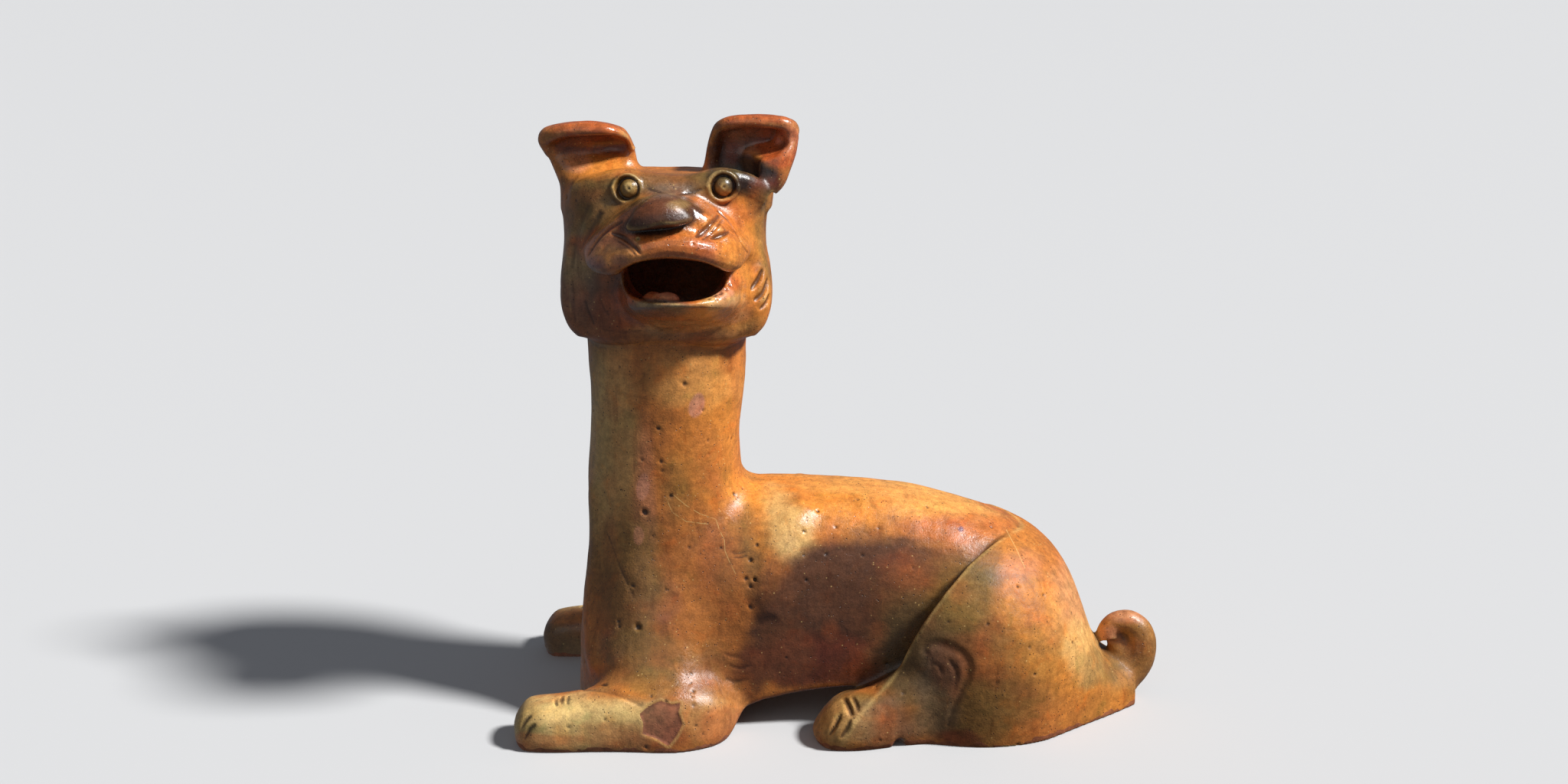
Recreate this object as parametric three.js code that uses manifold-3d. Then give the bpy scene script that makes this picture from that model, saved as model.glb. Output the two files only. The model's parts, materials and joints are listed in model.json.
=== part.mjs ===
// A recumbent watchdog in lead-glazed earthenware, hollow, hand built and luted together from
// separately formed clay pieces: a neck column, two press-moulded trunk halves, thigh slabs, legs,
// a curled tail, and a hollow head with its muzzle, jaw, nose, eyes, ears, cheek ruffs and tongue.
// Millimetres, +Z up. The body runs along X, forepaws at -X and tail at +X, and the head is turned
// a quarter to its left, so that the face looks along -Y. Heights are above the table, X is
// measured from the neck's axis and Y from the spine, until the end centres the figure on its base.

import * as THREE from "three";
import { mergeVertices } from "three/addons/utils/BufferGeometryUtils.js";
import Module from "manifold-3d";

const wasm = await Module();
wasm.setup();

// Clay and joints
const lutingGap = 0.3; // the slip joint between two pieces
const bodyWall = 7; // wall of the trunk and neck
const headWall = 6;
const cutOverrun = 10; // how far a cutter reaches past what it cuts
const weldTolerance = 1e-4; // points nearer than this are one

// Trunk: a barrel from the neck's axis to the rump, open underneath
const trunkLength = 216;
const trunkHeight = 118;
const trunkHalfWidth = 46;
const flankHeight = 46; // where the barrel is widest
const flankReach = 80; // its round lower half would reach this far below that, were it not cut off

// Belly arch: the barrel's lower edge is lifted off the table between elbow and thigh
const bellyFront = 26;
const bellyRear = 116;
const bellyLift = 23;

// Neck column: an upright tube that widens into the chest and stands on the table
const neckHeight = 200;
const neckHalfLength = 38;
const neckHalfWidth = 36.5;
const chestHalfLength = 47;
const chestHalfWidth = 48;

// Shoulders: each slopes from the side of the chest out over its foreleg to the table
const shoulderHeight = 84;
const shoulderSpread = 21; // how far it stands out past the chest's half-width at the table
const shoulderBack = 33; // from the neck's axis back to its rear edge
const shoulderSetback = 3; // how far its front stays behind the chest's

// Head: an upright hollow block on top of the neck
const headBottom = 195;
const headTop = 276;
const headHalfWidth = 51;
const headFront = 42; // from the neck's axis to the face
const headBack = 41; // from the neck's axis to the nape

// Brow: a soft ridge across the top of the face
const browRoll = 6; // its half-thickness
const browDrop = 5.6; // how far its middle lies below the head's top
const browHalfWidth = 42;

// Face: the muzzle, mouth and eyes sit a little towards the tail
const faceOffset = 5.5;

// Muzzle: the upper jaw, with a flared lip rolled along its lower edge
const muzzleRoot = 20; // how far it starts behind the tip of the head's axis
const muzzleReach = 75; // from the head's axis to the tip
const muzzleLow = 241; // of its lower edge, under the lip roll
const muzzleHeight = 29;
const muzzleHalfWidth = 34;
const muzzleRounding = 9;
const lipHalfWidth = 37;
const lipHeight = 247; // of the roll's middle under the nose
const lipDroop = 9.5; // how far the roll hangs lower at its lobes
const lipRoll = 4.6; // its half-thickness

// Lower jaw, with the walls that close the corners of the mouth
const jawSetback = 4; // how far the chin lies behind the muzzle's tip
const jawReach = muzzleReach - jawSetback;
const jawHalfWidth = 29;
const jawTop = 226;
const jawBottom = 203;
const jawRounding = 12;

// Mouth: the opening that runs into the hollow head
const mouthHalfWidth = 24.5;
const mouthTop = 243;
const mouthBottom = 223.5;
const mouthDepth = 60;
const mouthFloor = 211; // of the hollow behind the lower lip

// Nose: a wedge pressed onto the tip of the muzzle
const noseHalfWidth = 15.5;
const noseHeight = 16;
const noseLength = 17;
const noseCentre = 264.5;
const noseRounding = 7;

// Eyes: clay pellets set in round sockets
const eyeSpacing = 45;
const eyeHeight = 270;
const pelletRadius = 4.8;
const pelletDepth = 4.8;
const socketRadius = 7;
const socketDepth = 4;

// Ears: upright cupped slabs whose rims roll forward
const earHeight = 37;
const earHalfWidth = 20;
const earThickness = 5.5;
const earSpread = 39; // from the head's axis to the middle of an ear
const earRoll = 17; // how far rims and folded edges come forward
const earRootDrop = 14; // how far the root starts below the head's top

// Cheek ruffs: flaps over the lower corners of the head
const ruffLength = 42;
const ruffLift = 2; // how far its end lies above the head's lower edge
const ruffThickness = 6;
const ruffHalfDepth = 15;
const ruffSetback = 16; // how far the ruff's middle lies behind the face

// Tongue: a broken stub behind the lower lip
const tongueHalfWidth = 7;
const tongueHeight = 7;
const tongueLength = 22;
const tongueRounding = 5;

// Forelegs, lying along the table
const forelegReach = 75; // from the neck's axis to the toes
const forelegHalfWidth = 14;
const forelegSide = 57; // from the spine to the leg's middle
const elbowBack = 34; // from the neck's axis back to the elbow
const elbowInset = 12; // how far the elbow lies nearer the spine than the paw
const pawHeight = 20;
const pawRounding = 9;
const elbowRounding = 15;
const soleCut = 4; // how much of a leg's round underside the table cuts off

// Thighs: slabs over the rear of the barrel
const thighHalfWidth = 66;
const thighStart = 88; // from the neck's axis
const thighLength = 149;
const thighHeight = 103;

// Hind feet, lying along the table in front of the thighs
const hindToe = 71; // from the neck's axis
const hindFootLength = 62;
const hindFootSide = 55;
const hindHeelInset = 7; // how far the heel lies nearer the spine than the paw
const hindPawHeight = 28;
const hindPawHalfWidth = 15;
const hindRounding = 12;

// Tail: rises from the rump and curls over forwards
const tailThickness = 8.4; // half the strand's width
const tailReach = 33.4; // from the rump to the curl's outside
const tailHeight = 47.5;
const tailTipRounding = 4;

// Shapes are made of smooth numbers along a line

// The value at t of a smooth line through points, with no overshoot. Places are in rising order.
function smoothValue(places, values, t) {
  const last = places.length - 1;
  if (t <= places[0]) return values[0];
  if (t >= places[last]) return values[last];
  let i = 0;
  while (t > places[i + 1]) i += 1;
  const slope = (k) => (values[k + 1] - values[k]) / (places[k + 1] - places[k]);
  const tangent = (k) => {
    if (k === 0) return slope(0);
    if (k === last) return slope(last - 1);
    const before = slope(k - 1);
    const after = slope(k);
    return before * after <= 0 ? 0 : (2 * before * after) / (before + after);
  };
  const span = places[i + 1] - places[i];
  const s = (t - places[i]) / span;
  const rise = 3 * s * s - 2 * s * s * s;
  const leave = tangent(i) * span * s * (1 - s) * (1 - s);
  const arrive = tangent(i + 1) * span * s * s * (1 - s);
  return values[i] * (1 - rise) + values[i + 1] * rise + leave - arrive;
}

// Where rings stand along a length: closer together at a rounded end.
function ringPlaces(length, rings, roundStart, roundEnd) {
  return Array.from({ length: rings + 1 }, (_, r) => {
    const even = r / rings;
    const eased = (1 - Math.cos(Math.PI * even)) / 2;
    const easedShare = (roundStart && even < 0.5) || (roundEnd && even >= 0.5) ? 0.6 : 0;
    return length * (even * (1 - easedShare) + eased * easedShare);
  });
}

// The share of its full size that a section keeps near a rounded end.
function endShare(t, length, roundStart, roundEnd) {
  const ball = (near) => Math.sqrt(Math.max(0, 1 - (1 - near) ** 2));
  const start = roundStart ? ball(Math.min(1, t / roundStart)) : 1;
  const end = roundEnd ? ball(Math.min(1, (length - t) / roundEnd)) : 1;
  return Math.max(start * end, 0.02);
}

// One oval ring. Its section reaches left, right, up and down by its own amounts, is squarer as
// fullness goes above 2, and is narrower at the top than at the bottom by its pinch.
function ovalRing(section, centre, across, upwards, sides, scale, grow) {
  return Array.from({ length: sides }, (_, k) => {
    const angle = (2 * Math.PI * k) / sides;
    const c = Math.cos(angle);
    const s = Math.sin(angle);
    const power = 2 / (s >= 0 ? section.fullness : section.underFullness);
    const x = Math.sign(c) * Math.abs(c) ** power;
    const y = Math.sign(s) * Math.abs(s) ** power;
    const reachAcross = (x >= 0 ? section.right : section.left) + grow;
    const reachUpwards = (y >= 0 ? section.up : section.down) + grow;
    return centre
      .clone()
      .addScaledVector(across, x * reachAcross * scale * (1 - section.pinch * y))
      .addScaledVector(upwards, y * reachUpwards * scale);
  });
}

// Reads the sections of a list of stations at any distance along it.
function sectionReader(stations, places) {
  const read = (key, other, t) => smoothValue(places, stations.map((s) => s[key] ?? other(s)), t);
  return (t) => ({
    left: read("left", (s) => s.half, t),
    right: read("right", (s) => s.half, t),
    up: read("up", (s) => s.rise, t),
    down: read("down", (s) => s.rise, t),
    pinch: read("pinch", () => 0, t),
    fullness: read("fullness", () => 2, t),
    underFullness: read("underFullness", (s) => s.fullness ?? 2, t),
  });
}

// Joins rings of points into one closed skin, with a fan over each end.
function skinOfRings(rings) {
  const sides = rings[0].length;
  const positions = rings.flat().flatMap((p) => [p.x, p.y, p.z]);
  const index = [];
  rings.slice(1).forEach((_, r) => {
    for (let k = 0; k < sides; k += 1) {
      const a = r * sides + k;
      const b = r * sides + ((k + 1) % sides);
      index.push(a, b, a + sides, b, b + sides, a + sides);
    }
  });
  const addEnd = (ring, first, flip) => {
    const middle = ring.reduce((sum, p) => sum.add(p), new THREE.Vector3()).divideScalar(sides);
    const hub = positions.length / 3;
    positions.push(middle.x, middle.y, middle.z);
    for (let k = 0; k < sides; k += 1) {
      const a = first + k;
      const b = first + ((k + 1) % sides);
      index.push(...(flip ? [b, a, hub] : [a, b, hub]));
    }
  };
  addEnd(rings[0], 0, true);
  addEnd(rings[rings.length - 1], (rings.length - 1) * sides, false);
  return geometryOf(positions, index);
}

function geometryOf(positions, index) {
  return new THREE.BufferGeometry()
    .setAttribute("position", new THREE.Float32BufferAttribute(positions, 3))
    .setIndex(index);
}

// A skin through oval sections that all face the same way, one at each station's place (at).
// An overrun lengthens both ends, for a hollow that has to come out of them.
function loft(stations, options) {
  const { across, upwards, rings, sides, roundStart = 0, roundEnd = 0, grow = 0, overrun = grow } = options;
  const forwards = new THREE.Vector3().crossVectors(across, upwards);
  const places = [0];
  stations.slice(1).forEach((s, i) => places.push(places[i] + s.at.distanceTo(stations[i].at)));
  const length = places[places.length - 1];
  if (stations[1].at.clone().sub(stations[0].at).dot(forwards) < 0) forwards.negate();
  const section = sectionReader(stations, places);
  const made = ringPlaces(length, rings, roundStart, roundEnd).map((t, r) => {
    const axis = (key) => smoothValue(places, stations.map((s) => s.at[key]), t);
    const push = (r === 0 ? -overrun : 0) + (r === rings ? overrun : 0);
    const centre = new THREE.Vector3(axis("x"), axis("y"), axis("z")).addScaledVector(forwards, push);
    const scale = endShare(t, length, roundStart, roundEnd);
    return ovalRing(section(t), centre, across, upwards, sides, scale, grow);
  });
  return solidFrom(skinOfRings(made));
}

// A rope of oval sections along a smooth curve through the stations. Every section stays square
// to the curve and keeps its up as near as it can to the one given.
function sweep(stations, options) {
  const { upwards, rings, sides, roundStart = 0, roundEnd = 0, grow = 0 } = options;
  const curve = new THREE.CatmullRomCurve3(stations.map((s) => s.at), false, "centripetal");
  const places = [0];
  stations.slice(1).forEach((s, i) => places.push(places[i] + s.at.distanceTo(stations[i].at)));
  const length = places[places.length - 1];
  const section = sectionReader(stations, places);
  const made = ringPlaces(length, rings, roundStart, roundEnd).map((t, r) => {
    const tangent = curve.getTangentAt(t / length);
    const across = new THREE.Vector3().crossVectors(tangent, upwards).normalize();
    const up = new THREE.Vector3().crossVectors(across, tangent);
    const push = (r === 0 ? -grow : 0) + (r === rings ? grow : 0);
    const centre = curve.getPointAt(t / length).addScaledVector(tangent, push);
    const scale = endShare(t, length, roundStart, roundEnd);
    return ovalRing(section(t), centre, across, up, sides, scale, grow);
  });
  return solidFrom(skinOfRings(made));
}

// Geometry to a solid for cutting and joining, and back

function solidFrom(geometry) {
  const bare = new THREE.BufferGeometry().setAttribute("position", geometry.getAttribute("position"));
  if (geometry.index) bare.setIndex(geometry.index);
  const merged = mergeVertices(bare, weldTolerance);
  const vertProperties = merged.attributes.position.array;
  const build = (triVerts) => new wasm.Manifold(new wasm.Mesh({ numProp: 3, vertProperties, triVerts }));
  const triangles = new Uint32Array(merged.index.array);
  const solid = build(triangles);
  if (solid.volume() >= 0) return solid;
  for (let i = 0; i < triangles.length; i += 3) {
    [triangles[i + 1], triangles[i + 2]] = [triangles[i + 2], triangles[i + 1]];
  }
  return build(triangles);
}

// The largest connected piece of a solid, which drops the crumbs that a cut can leave.
function mainPiece(solid) {
  return solid.decompose().reduce((best, piece) => (piece.volume() > best.volume() ? piece : best));
}

function pieceMesh(name, solid, material) {
  const mesh = mainPiece(solid).getMesh();
  const positions = new Float32Array(mesh.numVert * 3);
  for (let i = 0; i < mesh.numVert; i += 1) {
    positions.set(mesh.vertProperties.subarray(i * mesh.numProp, i * mesh.numProp + 3), i * 3);
  }
  const geometry = new THREE.BufferGeometry()
    .setAttribute("position", new THREE.BufferAttribute(positions, 3))
    .setIndex(new THREE.BufferAttribute(mesh.triVerts, 1));
  geometry.computeVertexNormals();
  const made = new THREE.Mesh(geometry, material);
  made.name = name;
  return made;
}

// A block between two corners, for cuts
function block(low, high) {
  const size = new THREE.Vector3().subVectors(high, low);
  const middle = new THREE.Vector3().addVectors(low, high).divideScalar(2);
  return solidFrom(new THREE.BoxGeometry(size.x, size.y, size.z).translate(middle.x, middle.y, middle.z));
}

const sideways = new THREE.Vector3(0, 1, 0);
const lengthways = new THREE.Vector3(1, 0, 0);
const upright = new THREE.Vector3(0, 0, 1);

// Everything above the table, large enough for any piece
const worldReach = trunkLength + forelegReach + headTop;
const aboveTable = block(
  new THREE.Vector3(-worldReach, -worldReach, 0),
  new THREE.Vector3(worldReach, worldReach, worldReach),
);

// One side of the spine: -1 is the dog's left, +1 its right
function halfSpace(side, gap) {
  const near = side * gap;
  const far = side * worldReach;
  return block(
    new THREE.Vector3(-worldReach, Math.min(near, far), -worldReach),
    new THREE.Vector3(worldReach, Math.max(near, far), worldReach),
  );
}

// Trunk

// along: share of the trunk's length. width: share of its half-width. top: share of its height.
const trunkShares = [
  { along: 0.0, width: 0.78, top: 0.95, fullness: 2.3 },
  { along: 0.13, width: 0.95, top: 0.98, fullness: 2.4 },
  { along: 0.27, width: 0.96, top: 0.985, fullness: 2.5 },
  { along: 0.42, width: 0.9, top: 0.975, fullness: 2.5 },
  { along: 0.55, width: 0.89, top: 0.95, fullness: 2.4 },
  { along: 0.7, width: 0.93, top: 0.875, fullness: 2.3 },
  { along: 0.82, width: 0.93, top: 0.77, fullness: 2.2 },
  { along: 0.91, width: 0.84, top: 0.61, fullness: 2.1 },
  { along: 0.96, width: 0.68, top: 0.45, fullness: 2.0 },
  { along: 0.99, width: 0.42, top: 0.29, fullness: 2.0 },
];

function trunkSkin(grow) {
  const stations = trunkShares.map(({ along, width, top, fullness }) => {
    const waist = Math.min(flankHeight, (top * trunkHeight) / 2);
    return {
      at: new THREE.Vector3(along * trunkLength, 0, waist),
      half: width * trunkHalfWidth,
      up: top * trunkHeight - waist,
      down: flankReach,
      fullness,
    };
  });
  const [rings, sides] = grow < 0 ? [9, 20] : [16, 32];
  return loft(stations, { across: sideways, upwards: upright, rings, sides, grow });
}

// The gap under the belly, seen from the side
function bellyCutter() {
  const length = bellyRear - bellyFront;
  const at = (alongShare, liftShare) => [bellyFront + alongShare * length, liftShare * bellyLift];
  const shape = new THREE.Shape();
  shape.moveTo(bellyFront, -cutOverrun);
  shape.lineTo(bellyFront, 0);
  shape.bezierCurveTo(...at(0.12, 0.55), ...at(0.25, 0.68), ...at(0.55, 0.88));
  shape.bezierCurveTo(...at(0.8, 1.05), ...at(1, 0.95), bellyRear, -cutOverrun);
  const depth = 2 * (thighHalfWidth + cutOverrun);
  const geometry = new THREE.ExtrudeGeometry(shape, { depth, bevelEnabled: false, curveSegments: 7 });
  return solidFrom(geometry.rotateX(Math.PI / 2).translate(0, depth / 2, 0));
}

function trunkHalf(side) {
  return trunkSkin(0)
    .intersect(aboveTable)
    .subtract(trunkSkin(-bodyWall))
    .subtract(bellyCutter())
    .subtract(neckSkin(lutingGap))
    .intersect(halfSpace(side, lutingGap / 2));
}

// Neck column

// up: share of the neck's height. front, back and width: how far each has gone, as a share of
// the way, from the chest's size at the table to the neck's.
const neckShares = [
  { up: 0.0, front: 0.0, back: 0.3, width: 0.0 },
  { up: 0.08, front: 0.0, back: 0.4, width: 0.06 },
  { up: 0.22, front: 0.11, back: 0.6, width: 0.3 },
  { up: 0.33, front: 0.44, back: 0.8, width: 0.62 },
  { up: 0.45, front: 0.67, back: 0.95, width: 0.88 },
  { up: 0.6, front: 0.6, back: 1.2, width: 1.05 },
  { up: 0.71, front: 0.84, back: 1.36, width: 1.07 },
  { up: 0.82, front: 0.94, back: 1.12, width: 1.03 },
  { up: 0.94, front: 0.8, back: 0.98, width: 1.0 },
  { up: 1.04, front: 0.8, back: 0.98, width: 1.0 },
];

function neckSkin(grow, overrun = grow) {
  const blend = (share, low, high) => low + share * (high - low);
  const stations = neckShares.map(({ up, front, back, width }) => ({
    at: new THREE.Vector3(0, 0, up * neckHeight),
    half: blend(width, chestHalfWidth, neckHalfWidth),
    up: blend(front, chestHalfLength, neckHalfLength),
    down: blend(back, chestHalfLength, neckHalfLength),
    fullness: blend(Math.min(1, up), 2.5, 2.1),
  }));
  const [rings, sides] = grow < 0 ? [6, 16] : [14, 32];
  const directions = { across: sideways, upwards: lengthways.clone().negate() };
  return loft(stations, { ...directions, rings, sides, grow, overrun });
}

function neckColumn() {
  return neckSkin(0).intersect(aboveTable).subtract(neckSkin(-bodyWall, cutOverrun));
}

// Head

// up: share of the way from the head's bottom to its top. width, front and back: shares of the
// head's half-width and of its reach to the face and to the nape.
const headShares = [
  { up: 0.0, width: 0.76, front: 0.82, back: 0.86 },
  { up: 0.06, width: 0.84, front: 0.89, back: 0.93 },
  { up: 0.15, width: 0.9, front: 0.95, back: 0.98 },
  { up: 0.3, width: 0.93, front: 0.98, back: 1.0 },
  { up: 0.5, width: 0.96, front: 0.99, back: 1.0 },
  { up: 0.7, width: 0.97, front: 1.0, back: 0.96 },
  { up: 0.84, width: 0.96, front: 0.99, back: 0.88 },
  { up: 0.92, width: 0.89, front: 0.94, back: 0.74 },
  { up: 0.975, width: 0.74, front: 0.8, back: 0.54 },
  { up: 1.0, width: 0.48, front: 0.58, back: 0.34 },
];

function headSkin(grow) {
  const height = headTop - headBottom;
  const stations = headShares.map(({ up, width, front, back }) => ({
    at: new THREE.Vector3(0, 0, headBottom + up * height),
    half: width * headHalfWidth,
    up: back * headBack,
    down: front * headFront,
    fullness: 2.5,
    underFullness: 2.9,
  }));
  const [rings, sides] = grow < 0 ? [7, 18] : [15, 32];
  return loft(stations, { across: lengthways, upwards: sideways, rings, sides, grow });
}

// out: share of the brow's half-width. back: how far it has drawn back from the face, as a share
// of its thickness. drop: how far it hangs, as a share of its drop.
const browShares = [
  { out: -1.0, back: 3.4, drop: 2.2, roll: 0.7 },
  { out: -0.62, back: 2.1, drop: 1.1, roll: 0.95 },
  { out: -0.2, back: 1.7, drop: 1.0, roll: 1.0 },
  { out: 0.2, back: 1.7, drop: 1.05, roll: 1.0 },
  { out: 0.62, back: 2.0, drop: 0.95, roll: 1.0 },
  { out: 1.0, back: 3.2, drop: 2.0, roll: 0.8 },
];

function brow(grow) {
  const stations = browShares.map(({ out, back, drop, roll }) => ({
    at: new THREE.Vector3(out * browHalfWidth, back * browRoll - headFront, headTop - drop * browDrop),
    half: roll * browRoll,
    rise: roll * browRoll,
  }));
  const options = { upwards: upright, rings: 12, sides: 12, grow };
  return sweep(stations, { ...options, roundStart: browRoll, roundEnd: browRoll });
}

// The head's outside, which its neighbours meet
function headOutside(grow) {
  return headSkin(grow).add(brow(grow));
}

// Eyes: pellets in sockets, on the upper face

const eyePlaces = [-1, 1].map((side) => faceOffset + (side * eyeSpacing) / 2);
const eyeFront = 0.95 * headFront;

function eyeBall(x, radius, depth) {
  const ball = new THREE.SphereGeometry(1, 14, 9).rotateX(Math.PI / 2);
  return solidFrom(ball.scale(radius, depth, radius).translate(x, -eyeFront, eyeHeight));
}

// The head's outside with its eye sockets pressed in
function headWithSockets(grow) {
  const socket = (x) => eyeBall(x, socketRadius - grow, socketDepth - grow);
  return eyePlaces.reduce((solid, x) => solid.subtract(socket(x)), headOutside(grow));
}

function eyePellet(x) {
  return eyeBall(x, pelletRadius, pelletDepth)
    .subtract(headWithSockets(lutingGap))
    .subtract(muzzleSkin(lutingGap));
}

// Mouth: reach is a share of the way from the depth of the mouth to past the lips, width and
// height are shares of its half-sizes, and sunk is how far its floor has sunk from the lower lip
// to the hollow behind it, as a share of the way.
const mouthShares = [
  { reach: 0, width: 0.86, height: 1.0, sunk: 1 },
  { reach: 0.4, width: 0.96, height: 1.0, sunk: 1 },
  { reach: 0.6, width: 1.0, height: 1.0, sunk: 0.85 },
  { reach: 0.72, width: 1.0, height: 1.0, sunk: 0.15 },
  { reach: 1, width: 1.06, height: 1.08, sunk: 0 },
];

function mouthCutter(grow = 0) {
  const stations = mouthShares.map(({ reach, width, height, sunk }) => ({
    at: new THREE.Vector3(
      faceOffset,
      -(muzzleReach - mouthDepth + reach * (mouthDepth + cutOverrun)),
      (mouthTop + mouthBottom) / 2,
    ),
    half: width * mouthHalfWidth,
    up: (height * (mouthTop - mouthBottom)) / 2,
    down: (height * (mouthTop - mouthBottom)) / 2 + sunk * (mouthBottom - mouthFloor),
    fullness: 2.6,
  }));
  return loft(stations, { across: lengthways, upwards: upright, rings: 6, sides: 20, grow });
}

function headShell() {
  return headWithSockets(0)
    .subtract(headSkin(-headWall))
    .subtract(neckSkin(lutingGap))
    .subtract(mouthCutter());
}

// Muzzle

// out: share of the way from the root to the tip. width: share of the muzzle's half-width. top and
// low: shares of the height from its low edge to its top.
const muzzleShares = [
  { out: 0.0, width: 0.9, top: 0.92, low: -0.2, pinch: 0.42 },
  { out: 0.38, width: 0.93, top: 0.95, low: -0.2, pinch: 0.42 },
  { out: 0.6, width: 0.9, top: 0.98, low: -0.12, pinch: 0.4 },
  { out: 0.8, width: 0.76, top: 1.0, low: -0.02, pinch: 0.34 },
  { out: 0.92, width: 0.62, top: 0.94, low: 0.06, pinch: 0.27 },
  { out: 1.0, width: 0.48, top: 0.8, low: 0.12, pinch: 0.2 },
];

// The lip roll from one corner of the mouth to the other, over the arch under the nose. out and
// reach: shares of the lip's half-width and of the muzzle's reach. droop: share of its droop.
const lipShares = [
  { out: -1.0, reach: 0.64, droop: 0.62, roll: 0.8 },
  { out: -0.88, reach: 0.77, droop: 0.95, roll: 1.12 },
  { out: -0.5, reach: 0.91, droop: 0.62, roll: 1.0 },
  { out: 0.0, reach: 0.97, droop: 0.0, roll: 0.92 },
  { out: 0.5, reach: 0.91, droop: 0.58, roll: 1.0 },
  { out: 0.88, reach: 0.77, droop: 0.88, roll: 1.12 },
  { out: 1.0, reach: 0.64, droop: 0.62, roll: 0.8 },
];

function upperLip(grow) {
  const stations = lipShares.map(({ out, reach, droop, roll }) => ({
    at: new THREE.Vector3(
      faceOffset + out * lipHalfWidth,
      -reach * muzzleReach,
      lipHeight - droop * lipDroop,
    ),
    half: roll * lipRoll,
    rise: roll * lipRoll,
  }));
  const options = { upwards: upright, rings: 20, sides: 10, grow };
  return sweep(stations, { ...options, roundStart: lipRoll, roundEnd: lipRoll });
}

function muzzleSkin(grow) {
  const stations = muzzleShares.map(({ out, width, top, low, pinch }) => ({
    at: new THREE.Vector3(
      faceOffset,
      -(muzzleRoot + out * (muzzleReach - muzzleRoot)),
      muzzleLow + ((top + low) / 2) * muzzleHeight,
    ),
    half: width * muzzleHalfWidth,
    rise: ((top - low) / 2) * muzzleHeight,
    pinch,
    fullness: 2.3,
    underFullness: 3.2,
  }));
  const options = { across: lengthways, upwards: upright, rings: 11, sides: 24, grow };
  return loft(stations, { ...options, roundEnd: muzzleRounding }).add(upperLip(grow));
}

function muzzle() {
  return muzzleSkin(0).subtract(headOutside(lutingGap)).subtract(mouthCutter());
}

// Lower jaw

// out: share of the way from its root to the chin. width: share of its half-width. top and low:
// shares of the height from its bottom to its lip.
const jawShares = [
  { out: 0.0, width: 1.1, top: 1.75, low: -0.1 },
  { out: 0.35, width: 1.1, top: 1.75, low: 0.0 },
  { out: 0.62, width: 1.04, top: 1.6, low: 0.16 },
  { out: 0.8, width: 0.94, top: 1.08, low: 0.36 },
  { out: 1.0, width: 0.74, top: 1.0, low: 0.56 },
];

function jawSkin(grow) {
  const height = jawTop - jawBottom;
  const stations = jawShares.map(({ out, width, top, low }) => ({
    at: new THREE.Vector3(
      faceOffset,
      -(muzzleRoot + out * (jawReach - muzzleRoot)),
      jawBottom + ((top + low) / 2) * height,
    ),
    half: width * jawHalfWidth,
    rise: ((top - low) / 2) * height,
    fullness: 3,
    underFullness: 2.2,
  }));
  const options = { across: lengthways, upwards: upright, rings: 10, sides: 24, grow };
  return loft(stations, { ...options, roundEnd: jawRounding });
}

function lowerJaw() {
  return jawSkin(0)
    .subtract(headSkin(lutingGap))
    .subtract(neckSkin(lutingGap))
    .subtract(muzzleSkin(lutingGap))
    .subtract(mouthCutter());
}

// Nose: out is a share of its length, width and height are shares of its size.
const noseShares = [
  { out: 0, width: 0.55, height: 0.7 },
  { out: 0.45, width: 0.85, height: 1.0 },
  { out: 0.8, width: 1.0, height: 0.95 },
  { out: 1, width: 0.9, height: 0.7 },
];

function nose() {
  const root = muzzleReach - 0.62 * noseLength;
  const stations = noseShares.map(({ out, width, height }) => ({
    at: new THREE.Vector3(faceOffset / 2, -(root + out * noseLength), noseCentre),
    half: width * noseHalfWidth,
    rise: (height * noseHeight) / 2,
    pinch: 0.45,
    fullness: 2.2,
    underFullness: 3,
  }));
  const options = { across: lengthways, upwards: upright, rings: 8, sides: 18 };
  return loft(stations, { ...options, roundEnd: noseRounding }).subtract(muzzleSkin(lutingGap));
}

// Ears

// A closed slab round a curved sheet, whose middle is at place(u, v), with u across and v up.
// It thins to a round edge along its border.
function slabAround(place, thickness, across, along) {
  const step = 1e-3;
  const faces = [[], []];
  for (let j = 0; j <= along; j += 1) {
    for (let i = 0; i <= across; i += 1) {
      const u = -1 + (2 * i) / across;
      const v = j / along;
      const du = place(u + step, v).sub(place(u - step, v));
      const dv = place(u, v + step).sub(place(u, v - step));
      const normal = du.cross(dv).normalize();
      const edge = Math.max(Math.abs(u), v);
      const half = (thickness / 2) * Math.sqrt(1 - 0.75 * edge ** 10);
      faces.forEach((points, k) => points.push(place(u, v).addScaledVector(normal, (1 - 2 * k) * half)));
    }
  }
  const count = faces[0].length;
  const row = across + 1;
  const index = [];
  for (let j = 0; j < along; j += 1) {
    for (let i = 0; i < across; i += 1) {
      const a = j * row + i;
      index.push(a, a + 1, a + row + 1, a, a + row + 1, a + row);
      const b = a + count;
      index.push(b, b + row + 1, b + 1, b, b + row, b + row + 1);
    }
  }
  const border = [];
  for (let i = 0; i < across; i += 1) border.push(i);
  for (let j = 0; j < along; j += 1) border.push(j * row + across);
  for (let i = across; i > 0; i -= 1) border.push(along * row + i);
  for (let j = along; j > 0; j -= 1) border.push(j * row);
  border.forEach((a, k) => {
    const b = border[(k + 1) % border.length];
    index.push(a, count + b, b, a, count + a, count + b);
  });
  return solidFrom(geometryOf(faces.flat().flatMap((p) => [p.x, p.y, p.z]), index));
}

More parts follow.
